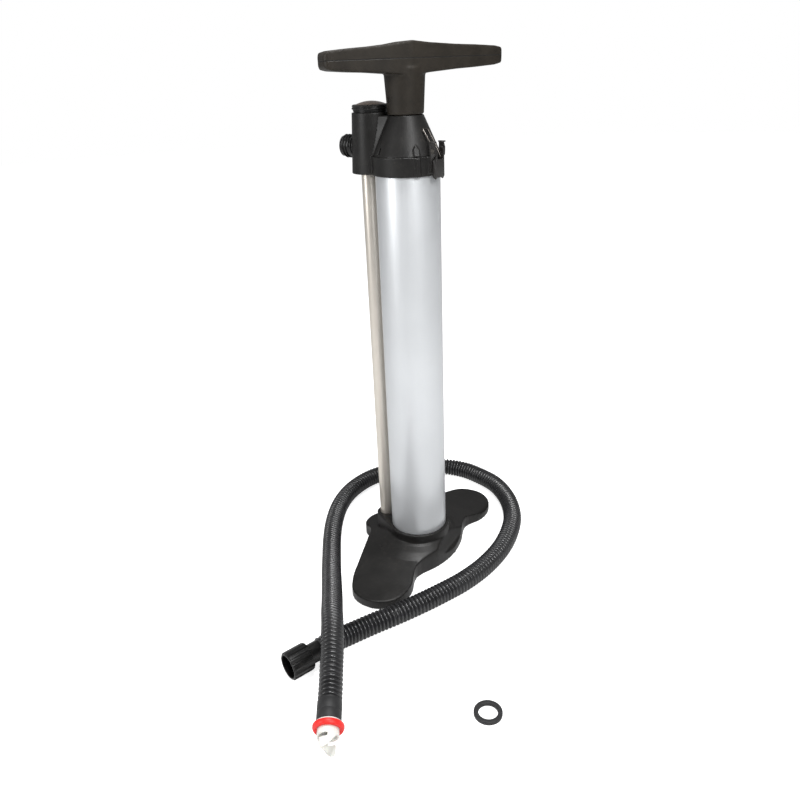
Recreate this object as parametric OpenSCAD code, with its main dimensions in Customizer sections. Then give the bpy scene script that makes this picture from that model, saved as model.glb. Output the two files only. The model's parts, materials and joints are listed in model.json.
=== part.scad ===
// Double action hand pump: a foot, a cylinder with an air tube beside it, a head with a
// gauge and an outlet, a T handle on a piston rod, and a loose hose with its fittings.
// Millimetres, +Z up, the origin on the cylinder's axis at floor level. The air tube, the
// gauge and the outlet are on +Y, the latch is on -Y, and the foot's wings lie along X.

/* [Cylinder] */
// Outer diameter of the cylinder tube
tube_d = 68; // [56:1:82]
// Wall of the cylinder tube
tube_wall = 1.6; // [1.2:0.1:2.4]
// Length of the cylinder tube and of the air tube
tube_len = 450; // [375:5:540]

/* [Air tube] */
// Outer diameter of the air tube
air_d = 16; // [13:0.5:18]
// Wall of the air tube
air_wall = 1.2; // [0.8:0.1:1.8]
// Clear gap between the two tubes
air_gap = 5.5; // [4.5:0.5:8]

/* [Foot] */
// Span of the foot across its two wings
foot_span = 276; // [250:2:330]
// Reach of the foot behind the cylinder's axis
foot_back = 84; // [78:1:100]
// Radius of each wing's round end
wing_r = 37; // [30:1:42]
// Height of the foot's shoulder
shoulder_h = 32; // [30:1:38]
// Height of the rim around the two tubes, above the shoulder
rim_h = 12; // [8:1:16]
// Shift of the foot's outline along its wings
foot_shift = 7; // [-12:1:12]
// Turn of the foot's outline against the air tube, in degrees
foot_turn = -3.5; // [-6:0.5:6]
// Height of the foot's outer edge
edge_h = 10; // [9:0.5:14]

/* [Head] */
// Height of the collar around the cylinder's top
collar_h = 19; // [16:1:24]
// Wall of the collar outside the cylinder tube
collar_wall = 2.7; // [2.4:0.1:4]
// Height of the hood above the collar
hood_h = 38; // [32:1:46]
// Radius of the hood's flat top
hood_top_r = 18; // [17:0.5:21]
// Diameter of the gauge turret at its top
turret_d = 40; // [38:1:46]
// Outer diameter of the outlet's thread
outlet_d = 24; // [20:0.5:25]
// How far the outlet stands out of the turret
outlet_len = 12; // [9:1:18]
// Bore of the outlet
outlet_bore = 15; // [11:0.5:16]

/* [Piston] */
// Diameter of the piston rod
rod_d = 14; // [12:0.5:15]
// Height of the piston
piston_h = 20; // [16:1:26]
// Travel of the piston
stroke = 415; // [300:5:415]
// Radial gap of every running fit
run_gap = 0.05; // [0.02:0.01:0.1]

/* [Handle] */
// Length of the handle from end to end
handle_len = 195; // [180:1:240]
// Half of the handle's height at its middle
handle_mid = 15.5; // [14.5:0.5:19]
// Half of the handle's height near its ends
handle_tip = 8.4; // [7.8:0.1:12]
// How far one arm of the handle is longer than the middle, and the other one shorter
handle_shift = 10.5; // [0:0.5:12]
// Direction of the handle about the cylinder's axis, in degrees
handle_turn = -35; // [-180:5:180]
// Wall of the handle's two shells
handle_wall = 3; // [2.4:0.2:4]

/* [Hose] */
// Outer diameter of the hose
hose_d = 24; // [20:1:24]
// Outer diameter of the hose nut
nut_d = 30; // [29:0.5:32]
// Length of the hose nut
nut_len = 25; // [22:1:30]
// Diameter of the valve adapter's spigot
spigot_d = 21; // [18:0.5:22]
// Length of the valve adapter's spigot
spigot_len = 25; // [20:1:30]

/* [Hidden] */
$fn = 64;
black = [0.07, 0.065, 0.06];
dark = [0.11, 0.105, 0.1];
silver = [0.72, 0.74, 0.76];
warm_silver = [0.7, 0.66, 0.6];
steel = [0.6, 0.6, 0.62];
rubber = [0.04, 0.04, 0.04];
white = [0.92, 0.91, 0.88];
red = [0.9, 0.13, 0.12];
eps = 0.01;
fit_gap = 0.05;
face_gap = 0.3;

tube_r = tube_d / 2;
bore_r = tube_r - tube_wall;
air_r = air_d / 2;
air_y = tube_r + air_gap + air_r;
socket_r = tube_r + fit_gap;

// Levels of the foot
seat_z = 28;
gasket_t = 1.5;
tube_z0 = seat_z + gasket_t;
rim_z = shoulder_h + rim_h;
cover_t = 3;
plate_t = 4;
plate_z0 = seat_z - plate_t;
chamber_r = bore_r - 3.4;
divider_t = 3;
duct_z = 6;
duct_h = 6;

// Levels of the head
tube_z1 = tube_z0 + tube_len;
collar_z0 = tube_z1 - 9.5;
collar_z1 = collar_z0 + collar_h;
collar_r = tube_r + collar_wall;
top_plate_z0 = tube_z1 + gasket_t;
top_plate_z1 = top_plate_z0 + plate_t;
hood_z1 = collar_z1 + hood_h;
hood_r = tube_r + 1;
turret_r = turret_d / 2;
turret_y = air_y - 6.5;
turret_z1 = hood_z1 + 3;
turret_foot_r = turret_r + 3;
outlet_z = collar_z1 + 7.5;
outlet_y = turret_y + turret_r + 1;

// Check valves
valve_x = 0.44 * bore_r;
top_valve_x = valve_x + 3;
valve_r = 8;
valve_t = 1.2;
valve_travel = 2;
stem_r = 1.5;
port_r = 1.9;
port_ring = 5;

// Piston and rod
rod_r = rod_d / 2;
piston_z0 = plate_z0 + plate_t + 10;
nut_t = 5;
piston_r = bore_r - 0.4;
seal_r = bore_r - run_gap;
seal_h = 4;
rod_z0 = piston_z0 - nut_t - 1;
neck_z0 = hood_z1 + 0.4;
handle_z = hood_z1 + 51.5;
rod_z1 = handle_z + handle_mid - handle_wall - 4;
bush_r = rod_r + 4;
bush_h = 10;

// Gauge
gauge_neck_h = 3;
bezel_r = turret_r - 0.2;
bezel_h = 4.5;
dial_r = bezel_r - 2.3;
bezel_z0 = turret_z1 + gauge_neck_h;
dial_z = bezel_z0 + 1.2;
needle_z = dial_z + 1.3;

// Latch on the front of the collar
latch_turn = -13;
latch_y = -(collar_r + 4.6);
latch_z = collar_z1 + 5;
bail_drop = 6.5;
bail_x = 3.4;
wire_r = 0.9;
lever_x = 4.6;
lever_t = 1.4;
ear_x = 6.5;
ear_t = 1.5;
pad_x = 8.4;
pad_y = -(collar_r + 0.4);
latch_screw_x = 2.2;
latch_screw_z = collar_z0 + 9;
lug_x = bail_x - wire_r - 0.5;
bail_top_z = collar_z1 + 25;
bail_top_y = -hood_r + (hood_r - hood_top_r) * 25 / hood_h - wire_r - 0.6;

// Hose route: its points in order, on the floor and over itself once
hose_r = hose_d / 2;
route = [
    [-226, 0, 16.2], [-208, -7.3, 16.2], [-187, -16, 13.6], [-162, -29, 12.6],
    [-137, -44, 12.4], [-110, -59, 12.4], [-82, -73, 12.4], [-50, -87, 12.4],
    [-13, -97, 12.4], [28, -101, 12.4], [69, -97, 12.4], [106, -86, 12.4],
    [142, -64, 12.4], [170, -34, 12.4], [184, 0, 12.4], [189, 28, 12.4],
    [184, 58, 12.4], [168, 89, 12.4], [146, 115, 12.4], [120, 134, 12.4],
    [92, 144, 12.4], [57, 146, 12.4], [20, 138, 12.4], [-17, 122, 12.4],
    [-50, 103, 12.4], [-79, 84, 12.8], [-107, 65, 15.5], [-137, 43.5, 21.5],
    [-167, 22, 30], [-190, 6, 37], [-208, -7, 40.2], [-226, -19, 39.8],
    [-244, -30.5, 36], [-260, -40, 31], [-272, -47.1, 26.5], [-284, -54, 23]
];
nut_turn = 158;
nut_z = 16.2;
tail_len = 38;
tail_r = outlet_d / 2 - 1.5;
nut_bore_r = outlet_d / 2 + 0.3;
adapter_turn = 210;
adapter_dip = 14;
cuff_len = 21;
cuff_r = hose_r;
collar_ring_t = 2;
gasket_ring_t = 5.5;
spigot_r = spigot_d / 2;
spare_at = [-209, -185];
spare_r = 14;
spare_hole_r = 9.5;
spare_t = 4;

// ---------- shared shapes ----------

// A ring of rectangular section that stands on z = 0
module ring(outer, inner, h) {
    difference() {
        cylinder(r = outer, h = h);
        translate([0, 0, -1]) cylinder(r = inner, h = h + 2);
    }
}

// A screw that points up: a flat head below z = 0 and a shank above it
module screw_up(head_r, head_h, shank_r, shank_h) {
    translate([0, 0, -head_h]) cylinder(r = head_r, h = head_h);
    translate([0, 0, -eps]) cylinder(r = shank_r, h = shank_h + eps);
}

// Places the children on a circle
module around(n, radius, start = 0) {
    for (i = [0 : n - 1])
        rotate(start + i * 360 / n) translate([radius, 0, 0]) children();
}

function arc(c, r, a0, a1, n) = [
    for (i = [0 : n]) let (a = a0 + (a1 - a0) * i / n) [c[0] + r * cos(a), c[1] + r * sin(a)]
];
function mirror_x(pts) = [for (i = [len(pts) - 1 : -1 : 0]) [-pts[i][0], pts[i][1]]];

// One point of a Catmull-Rom curve from b to c
function curve(a, b, c, d, t) =
    0.5 * (2 * b + (c - a) * t + (2 * a - 5 * b + 4 * c - d) * t * t
        + (3 * b - a - 3 * c + d) * t * t * t);
function closed_curve(p, steps) = [
    for (i = [0 : len(p) - 1], k = [0 : steps - 1])
        curve(p[i], p[(i + 1) % len(p)], p[(i + 2) % len(p)], p[(i + 3) % len(p)], k / steps)
];

// ---------- foot ----------

foot_front = tube_r + 12;
wing_x = foot_span / 2 - wing_r;
wing_y = -5;
lobe_r = 26;
lobe_y = foot_back - lobe_r;

// Right half of the foot's outline, from the front to the back
half_outline = concat(
    [[foot_front * 0.65, -foot_front + 4.5], [wing_x * 0.615, -foot_front + 15.5]],
    arc([wing_x, wing_y], wing_r, -105, 75, 4),
    [[wing_x * 0.8, wing_y + wing_r + 10], [wing_x * 0.5, wing_y + wing_r + 21]],
    arc([0, lobe_y], lobe_r, 12, 55, 1)
);
outline = closed_curve(
    concat([[0, -foot_front]], half_outline, [[0, foot_back]], mirror_x(half_outline)), 4);

// Frame of the foot's outline and of its pockets
module foot_frame() {
    translate([foot_shift, 0, 0]) rotate(foot_turn) children();
}

// Height of the foot against the distance from the cylinder's axis
module foot_dome() {
    rotate_extrude($fn = 96)
        polygon([[0, 0], [foot_span, 0], [foot_span, edge_h], [0.87 * foot_span / 2, edge_h + 1.5],
            [0.69 * foot_span / 2, edge_h + 3.5], [tube_r + 40, shoulder_h - 14.5],
            [tube_r + 24, shoulder_h - 11], [tube_r + 14, shoulder_h - 6],
            [tube_r + 7, shoulder_h], [0, shoulder_h]]);
}

// Height of the foot against Y, which falls towards its front and its back
module foot_flare() {
    rotate([90, 0, 90]) translate([0, 0, -foot_span])
        linear_extrude(2 * foot_span)
            polygon([[-foot_front - 9, 0], [-foot_front - 9, edge_h - 2], [-foot_front, edge_h],
                [-foot_front + 3, edge_h + 3], [-foot_front + 6, shoulder_h - 8],
                [-foot_front + 8, shoulder_h + 1], [foot_back - 20, shoulder_h + 1],
                [foot_back - 9, shoulder_h - 8], [foot_back + 9, edge_h], [foot_back + 9, 0]]);
}

// Outline around the two tubes, with a margin outside each
module tubes_outline(margin) {
    circle(r = tube_r + margin);
    translate([0, air_y]) circle(r = air_r + margin);
    polygon([[-(tube_r + margin) * 0.86, (tube_r + margin) * 0.5],
        [(tube_r + margin) * 0.86, (tube_r + margin) * 0.5],
        [(air_r + margin) * 0.9, air_y + (air_r + margin) * 0.43],
        [-(air_r + margin) * 0.9, air_y + (air_r + margin) * 0.43]]);
}

cover_r = 34;
cover_tip_r = 9;
module cover_outline(gap) {
    circle(r = cover_r + gap);
    translate([-cover_tip_r - gap, 0]) square([2 * (cover_tip_r + gap), air_y]);
    translate([0, air_y]) circle(r = cover_tip_r + gap);
}
cover_screws = [[-27, -14], [27, -14], [-24, 18], [24, 18]];
screw_r = 1.7;

module foot() {
    color(black)
    difference() {
        union() {
            intersection() {
                foot_frame() linear_extrude(shoulder_h) polygon(outline);
                foot_dome();
                foot_flare();
            }
            translate([0, 0, 9]) linear_extrude(rim_z - 9) tubes_outline(4.4);
        }
        // sockets of the two tubes
        translate([0, 0, seat_z]) cylinder(r = socket_r, h = rim_z);
        translate([0, air_y, seat_z]) cylinder(r = air_r + fit_gap, h = rim_z);
        translate([0, air_y, seat_z + 8]) cylinder(r = air_r + 1.6, h = 2);
        // gap between the tubes inside the rim
        translate([-6, tube_r - 3, rim_z - 9]) cube([12, air_y - tube_r, 10]);
        // valve plate seat and the chamber under it
        translate([0, 0, plate_z0]) cylinder(r = bore_r - 0.4, h = plate_t + 1);
        difference() {
            translate([0, 0, -1]) cylinder(r = chamber_r, h = seat_z);
            translate([-divider_t / 2, -tube_r, -2]) cube([divider_t, tube_d, plate_z0 + 2]);
            for (p = cover_screws) translate([p[0], p[1], 0]) cylinder(r = 4, h = plate_z0 - 4);
        }
        // duct to the air tube
        translate([divider_t / 2, chamber_r - 6, duct_z]) cube([7, air_y - chamber_r + 6, duct_h]);
        translate([0, air_y, duct_z]) cylinder(r = air_r - 3, h = seat_z);
        translate([-1, air_y - 3, duct_z]) cube([8, 6, duct_h]);
        // intake slot on the left shoulder
        rotate(147) translate([chamber_r - 4, -3.5, 21.2]) cube([foot_back, 7, 2]);
        // bed of the cover and its screw holes
        translate([0, 0, -1]) linear_extrude(cover_t + 1) cover_outline(0.15);
        for (p = cover_screws) translate([p[0], p[1], 0]) cylinder(r = screw_r + fit_gap, h = 14);
        // pockets under the wings
        foot_frame() for (s = [-1, 1]) {
            translate([s * wing_x, wing_y, -1]) cylinder(r = wing_r - 9, h = 8);
            translate([s * (wing_x * 0.5 + 10) - 9, -14, -1]) cube([18, 34, 11]);
        }
    }
}

module base_cover() {
    color(dark)
    difference() {
        linear_extrude(cover_t) cover_outline(0);
        for (p = cover_screws) translate([p[0], p[1], -1]) {
            cylinder(r = screw_r + 0.3, h = cover_t + 2);
            cylinder(r = 3.6, h = 2.6);
        }
    }
}

module base_screws() {
    color(steel)
    for (p = cover_screws) translate([p[0], p[1], 1.6]) screw_up(3.3, 1.2, screw_r, 11);
}

// ---------- tubes ----------

module cylinder_tube() {
    color(silver) translate([0, 0, tube_z0]) ring(tube_r, bore_r, tube_len);
}

module air_tube() {
    color(warm_silver)
    translate([0, air_y, tube_z0]) ring(air_r, air_r - air_wall, tube_len);
}

module lower_gasket() {
    color(rubber) translate([0, 0, seat_z]) ring(tube_r - 0.1, bore_r, gasket_t);
}

module upper_gasket() {
    color(rubber) translate([0, 0, tube_z1]) ring(tube_r - 0.1, bore_r, gasket_t);
}

module air_tube_seals() {
    color(rubber)
    for (z = [seat_z + 8, collar_z0 + 3])
        translate([0, air_y, z]) ring(air_r + 1.5, air_r + 0.02, 2);
}

// ---------- check valves ----------

// A plate with ports under each valve disc, and a hole for the valve's stem
module valve_plate(radius, valve_at, rod_hole) {
    difference() {
        cylinder(r = radius, h = plate_t);
        for (s = [-1, 1]) translate([s * valve_at, 0, -1]) {
            cylinder(r = stem_r + fit_gap, h = plate_t + 2);
            around(4, port_ring, 45) cylinder(r = port_r, h = plate_t + 2);
        }
        if (rod_hole > 0) translate([0, 0, -1]) cylinder(r = rod_hole, h = plate_t + 2);
    }
}

// A valve disc that lifts off the plate's upper face, its stem held below the plate
module valve_disc() {
    translate([0, 0, plate_t + face_gap]) cylinder(r = valve_r, h = valve_t);
    translate([0, 0, -valve_travel - 1.4]) cylinder(r = stem_r, h = plate_t + valve_travel + 2);
    translate([0, 0, -valve_travel - 1.9]) cylinder(r = stem_r + 0.8, h = 1);
}

module lower_valve_plate() {
    color(dark) translate([0, 0, plate_z0]) valve_plate(bore_r - 0.5, valve_x, 0);
}

module lower_intake_valve() {
    color(rubber) translate([-valve_x, 0, plate_z0]) valve_disc();
}

module lower_delivery_valve() {
    color(rubber)
    translate([valve_x, 0, plate_z0 + plate_t]) mirror([0, 0, 1]) valve_disc();
}

module upper_valve_plate() {
    color(dark) translate([0, 0, top_plate_z0]) valve_plate(tube_r - 0.1, top_valve_x, rod_r + 0.6);
}

module upper_intake_valve() {
    color(rubber)
    translate([-top_valve_x, 0, top_plate_z1]) mirror([0, 0, 1]) valve_disc();
}

module upper_delivery_valve() {
    color(rubber) translate([top_valve_x, 0, top_plate_z0]) valve_disc();
}

// ---------- head ----------

module turret_solid(gap) {
    translate([0, turret_y, collar_z0])
        cylinder(r1 = turret_foot_r + gap, r2 = turret_r + gap, h = turret_z1 - collar_z0);
}

// Alignment ribs on the collar's left front: a stepped bar and a pointed one above it
rib_turn = -135;
rib_w = 6;
module collar_rib() {
    rotate(rib_turn) translate([collar_r - 2, -rib_w / 2, collar_z0]) {
        cube([3.2, rib_w, collar_h / 2 - 0.4]);
        translate([0, 0.4, 0]) cube([4, rib_w - 0.8, collar_h - 1]);
    }
}
module hood_rib() {
    rotate(rib_turn) translate([0, 0, collar_z1]) intersection() {
        rotate([90, 0, 0]) translate([0, 0, -rib_w])
            linear_extrude(2 * rib_w)
                polygon([[hood_r - 4, 0.4], [hood_r + 1.9, 0.4], [hood_r + 1.9, 1.6],
                    [hood_r - 3.6, 12.5], [hood_r - 8, 12.5]]);
        rotate([90, 0, 90])
            linear_extrude(hood_r + 5)
                polygon([[-rib_w / 2, -1], [rib_w / 2, -1], [rib_w / 2, 7], [0, 11.5],
                    [-rib_w / 2, 7]]);
    }
}

module latch_frame() {
    rotate(latch_turn) children();
}

module head_body() {
    color(black)
    difference() {
        union() {
            translate([0, 0, collar_z0]) cylinder(r = collar_r, h = collar_h);
            turret_solid(0);
            collar_rib();
            latch_frame() translate([-pad_x, pad_y, collar_z0 + 3])
                cube([2 * pad_x, 8, collar_h - 3]);
        }
        // cylinder socket, valve plate seat and hood spigot
        translate([0, 0, collar_z0 - 1]) cylinder(r = socket_r, h = collar_h + 2);
        // air tube socket with its seal groove
        translate([0, air_y, collar_z0 - 1]) cylinder(r = air_r + fit_gap, h = tube_z1 - collar_z0 + 2);
        translate([0, air_y, collar_z0 + 3]) cylinder(r = air_r + 1.6, h = 2);
        // air chamber of the turret
        translate([0, turret_y, tube_z1]) cylinder(r = air_r - 1, h = turret_z1 - tube_z1 - 14);
        translate([0, air_y, tube_z1 - 1]) cylinder(r = air_r - 2.5, h = 8);
        // duct from the hood, the outlet's seat and the gauge's stem hole
        translate([0, turret_y, outlet_z]) rotate([90, 0, 0]) cylinder(r = 4, h = turret_r + 6);
        translate([0, turret_y, outlet_z]) rotate([-90, 0, 0])
            cylinder(r = outlet_bore / 2 + 2, h = turret_foot_r + 2);
        translate([0, turret_y, turret_z1 - 15]) cylinder(r = 5 + fit_gap, h = 20);
        // flat round seat that the outlet's neck stands in
        translate([0, outlet_y - 1.3, outlet_z]) rotate([-90, 0, 0])
            cylinder(r = outlet_d / 2 - 1.1, h = 8);
        // holes of the latch screws
        latch_frame() for (s = [-1, 1]) translate([s * latch_screw_x, pad_y - 1, latch_screw_z])
            rotate([-90, 0, 0]) cylinder(r = 1.3, h = 3.3);
    }
}

module hood_web() {
    half = turret_r;
    rotate([90, 0, 0]) translate([0, 0, -turret_y])
        linear_extrude(turret_y)
            polygon([[-half, collar_z1], [half, collar_z1],
                [0.65 * turret_r, hood_z1], [-0.65 * turret_r, hood_z1]]);
}

module hood_cavity() {
    knee_z = collar_z1 + 2;
    ceiling_z = hood_z1 - bush_h - 6;
    rotate_extrude()
        polygon([[0, top_plate_z1 - 1], [tube_r - 4.5, top_plate_z1 - 1],
            [tube_r - 4.5, knee_z], [bush_r + 1, ceiling_z], [0, ceiling_z]]);
}

module head_hood() {
    color(black)
    difference() {
        union() {
            translate([0, 0, collar_z1]) cylinder(r1 = hood_r, r2 = hood_top_r, h = hood_h);
            hood_web();
            // spigot inside the collar
            translate([0, 0, top_plate_z1]) cylinder(r = tube_r - 0.2, h = collar_z1 - top_plate_z1 + 1);
            hood_rib();
            // lug that holds the latch's bail
            latch_frame() translate([-lug_x, bail_top_y - 1.4, bail_top_z - wire_r - face_gap - 4.5])
                cube([2 * lug_x, 8, 4.5]);
        }
        turret_solid(0.15);
        difference() {
            hood_cavity();
            // chimney that keeps the intake air apart
            translate([-top_valve_x, 0, top_plate_z1 - 2]) cylinder(r = valve_r + 1.2, h = hood_h);
        }
        translate([-top_valve_x, 0, top_plate_z1 - 2]) cylinder(r = valve_r - 0.6, h = 7.4);
        // intake slot on the left, and the duct to the turret
        rotate(150) translate([tube_r - 12, -1.5, collar_z1 + 1]) cube([30, 3, 7]);
        translate([0, 8, outlet_z]) rotate([-90, 0, 0]) cylinder(r = 4, h = turret_y);
        // seats of the bush and the rod's seal
        translate([0, 0, hood_z1 - bush_h]) cylinder(r = bush_r, h = bush_h + 1);
        translate([0, 0, hood_z1 - bush_h - 4]) cylinder(r = bush_r - 0.5, h = 5);
        translate([0, 0, hood_z1 - bush_h - 12]) cylinder(r = rod_r + 0.6, h = 20);
    }
}

module rod_bush() {
    color(white)
    translate([0, 0, hood_z1 - bush_h]) ring(bush_r - fit_gap, rod_r + run_gap, bush_h);
}

module rod_seal() {
    color(rubber)
    translate([0, 0, hood_z1 - bush_h - 4]) ring(bush_r - 0.6, rod_r + run_gap, 3.9);
}

module outlet_port() {
    seat_r = outlet_bore / 2 + 2 - fit_gap;
    color(black)
    translate([0, 0, outlet_z]) rotate([-90, 0, 0])
    difference() {
        union() {
            translate([0, 0, outlet_y - 14]) cylinder(r = seat_r, h = 14);
            translate([0, 0, outlet_y + 1.2]) cylinder(r = outlet_d / 2, h = outlet_len);
            translate([0, 0, outlet_y - 1]) cylinder(r = outlet_d / 2 - 1.4, h = 3);
        }
        translate([0, 0, outlet_y - 15]) cylinder(r = outlet_bore / 2, h = outlet_len + 18);
        // thread, as three grooves
        for (i = [0 : 2]) translate([0, 0, outlet_y + 3.6 + 3 * i])
            ring(outlet_d / 2 + 1, outlet_d / 2 - 1.2, 1.4);
    }
}

module outlet_seal() {
    color(rubber)
    translate([0, outlet_y + 1.2 + outlet_len, outlet_z]) rotate([-90, 0, 0])
        ring(outlet_d / 2 - 1.6, outlet_bore / 2 + 0.4, 1);
}

// ---------- gauge ----------

module gauge_body() {
    color(dark)
    translate([0, turret_y, 0]) difference() {
        union() {
            translate([0, 0, turret_z1]) cylinder(r = bezel_r - 1.2, h = dial_z - turret_z1);
            translate([0, 0, turret_z1 - 14]) cylinder(r = 5, h = 15);
        }
        translate([0, 0, turret_z1 - 15]) cylinder(r = 1.5, h = 15);
    }
}

module gauge_dial() {
    color(white)
    translate([0, turret_y, dial_z]) difference() {
        cylinder(r = dial_r - 0.1, h = 0.6);
        translate([0, 0, -1]) cylinder(r = 1, h = 3);
    }
}

module gauge_needle() {
    color(red)
    translate([0, turret_y, needle_z]) rotate(-135) {
        cylinder(r = 1.6, h = 0.8);
        translate([-3.5, -0.5, 0]) cube([dial_r - 0.5, 1, 0.5]);
    }
}

module gauge_glass() {
    glass_r = dial_r + 0.2;
    rise = 4.2;
    dome_r = (glass_r * glass_r + rise * rise) / (2 * rise);
    base_z = bezel_z0 + bezel_h - 0.8;
    color([0.75, 0.7, 0.62, 0.5])
    translate([0, turret_y, base_z + rise - dome_r]) difference() {
        rotate_extrude() intersection() {
            difference() {
                circle(r = dome_r, $fn = 128);
                circle(r = dome_r - 0.9, $fn = 128);
            }
            translate([0, dome_r - rise]) square([glass_r, rise + 1]);
        }
    }
}

module gauge_bezel() {
    color(black)
    translate([0, turret_y, 0]) difference() {
        translate([0, 0, bezel_z0]) cylinder(r = bezel_r, h = bezel_h);
        translate([0, 0, bezel_z0 - 1]) cylinder(r = bezel_r - 1.15, h = dial_z - bezel_z0 + 1);
        translate([0, 0, bezel_z0 - 1]) cylinder(r = dial_r, h = bezel_h + 2);
        translate([0, 0, bezel_z0 + bezel_h - 1.2]) cylinder(r = dial_r + 0.3, h = 2);
    }
}

// ---------- latch ----------

// A prism along X whose outline is given in Y and Z
module side_plate(x0, thick, pts) {
    translate([x0, 0, 0]) rotate([90, 0, 90]) linear_extrude(thick) polygon(pts);
}

module latch_bracket() {
    ear = [[pad_y + eps, latch_z - 20], [pad_y + eps, latch_z + 9], [latch_y - 1, latch_z + 9],
        [latch_y - 3, latch_z + 3], [latch_y - 2.6, latch_z - 4], [pad_y - 2, latch_z - 9],
        [pad_y - 1.2, latch_z - 20]];
    color(dark)
    latch_frame() difference() {
        union() {
            for (s = [-1, 1])
                side_plate(s * (ear_x + ear_t / 2) - ear_t / 2, ear_t, ear);
            translate([-ear_x - ear_t, pad_y - 1.2, latch_z - 20])
                cube([2 * (ear_x + ear_t), 1.2, 14]);
            // flanges above the ears
            for (s = [-1, 1]) translate([s * (ear_x + 0.4) - 1.6, latch_y - 3, latch_z + 7.8])
                cube([3.2, pad_y - latch_y + 3, 1.2]);
        }
        for (s = [-1, 1]) translate([s * latch_screw_x, pad_y - 3, latch_screw_z])
            rotate([-90, 0, 0]) cylinder(r = 1.5, h = 4);
        translate([-20, latch_y, latch_z]) rotate([0, 90, 0]) cylinder(r = 1.5, h = 40);
    }
}

module latch_screws() {
    color(steel)
    latch_frame() for (s = [-1, 1]) translate([s * latch_screw_x, pad_y - 1.2, latch_screw_z])
        rotate([-90, 0, 0]) screw_up(2.2, 0.9, 1.25, 3.4);
}

module latch_rivets() {
    color(steel)
    latch_frame() for (s = [-1, 1]) translate([s * (ear_x + ear_t / 2), latch_y, latch_z])
        rotate([0, s * 90, 0]) {
            translate([0, 0, lever_x - ear_x - ear_t / 2])
                cylinder(r = 1.5 - run_gap, h = ear_x - lever_x + ear_t);
            translate([0, 0, ear_t / 2]) cylinder(r = 2.4, h = 0.7);
        }
}

module latch_lever() {
    y = latch_y;
    wall = [[y + 2.6, latch_z - 25], [y + 2.8, latch_z - 3], [y + 2.4, latch_z + 2],
        [y + 0.8, latch_z + 4.2], [y - 1.6, latch_z + 4], [y - 3.2, latch_z + 1],
        [y - 3.2, latch_z - 24], [y - 1.4, latch_z - 27]];
    color(black)
    latch_frame() difference() {
        union() {
            for (s = [-1, 1])
                side_plate(s * (lever_x + lever_t / 2) - lever_t / 2, lever_t, wall);
            side_plate(-lever_x - eps, 2 * lever_x + 2 * eps,
                [[y - 1.8, latch_z - 25.5], [y - 1.8, latch_z - 8], [y - 3.2, latch_z - 8],
                    [y - 3.2, latch_z - 24], [y - 2.3, latch_z - 25.5]]);
        }
        translate([-20, y, latch_z]) rotate([0, 90, 0]) cylinder(r = 1.5, h = 40);
        translate([-20, y, latch_z - bail_drop]) rotate([0, 90, 0]) cylinder(r = wire_r + run_gap, h = 40);
    }
}

// A flat bar from a to b in the Y and Z plane, as wide as the wire
module bar_between(a, b, x) {
    d = b - a;
    translate([x - wire_r, a[0], a[1]]) rotate([atan2(d[1], d[0]), 0, 0])
        translate([0, -wire_r * 0.5, -wire_r]) cube([2 * wire_r, norm(d) + wire_r, 2 * wire_r]);
}

module latch_bail() {
    foot_at = [latch_y, latch_z - bail_drop];
    bend_at = [latch_y + 6.5, latch_z + 7];
    top_at = [bail_top_y, bail_top_z];
    color(steel) latch_frame() {
        for (s = [-1, 1]) {
            bar_between(foot_at, bend_at, s * bail_x);
            bar_between(bend_at, top_at, s * bail_x);
            translate([s * bail_x, latch_y, latch_z - bail_drop]) rotate([0, s * 90, 0])
                cylinder(r = wire_r, h = lever_x + lever_t - bail_x);
        }
        translate([-bail_x, bail_top_y, bail_top_z]) rotate([0, 90, 0])
            cylinder(r = wire_r, h = 2 * bail_x);
    }
}

// ---------- piston ----------

module piston() {
    color(dark)
    translate([0, 0, piston_z0]) difference() {
        cylinder(r = piston_r, h = piston_h);
        translate([0, 0, -1]) cylinder(r = rod_r + run_gap, h = piston_h + 2);
        for (z = [2, piston_h - 2 - seal_h]) translate([0, 0, z])
            ring(piston_r + 1, piston_r - 3.2, seal_h);
        translate([0, 0, -1]) ring(piston_r - 5, rod_r + 4, 6);
        translate([0, 0, piston_h - 5]) ring(piston_r - 5, rod_r + 4, 6);
    }
}

module piston_seals() {
    color(rubber)
    for (z = [2, piston_h - 2 - seal_h]) translate([0, 0, piston_z0 + z])
        ring(seal_r, piston_r - 3.1, seal_h);
}

module piston_rod() {
    color(silver)
    difference() {
        union() {
            translate([0, 0, rod_z0]) cylinder(r = rod_r, h = rod_z1 - rod_z0);
            // shoulder that rests on the piston
            translate([0, 0, piston_z0 + piston_h + face_gap]) cylinder(r = rod_r + 2.5, h = 3);
        }
        translate([0, 0, rod_z0 - 1]) cylinder(r = rod_r - 1.6, h = rod_z1 - rod_z0 + 2);
        translate([0, 0, neck_z0 + 14]) rotate([0, 90, handle_turn])
            cylinder(r = 2.5, h = 40, center = true);
    }
}

module piston_nut() {
    color(steel)
    translate([0, 0, piston_z0 - nut_t - face_gap]) difference() {
        cylinder(r = rod_r + 5, h = nut_t, $fn = 6);
        translate([0, 0, -1]) cylinder(r = rod_r + fit_gap, h = nut_t + 2);
    }
}

// ---------- handle ----------

half_len = handle_len / 2;
arms = [half_len + handle_shift, half_len - handle_shift];

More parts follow.
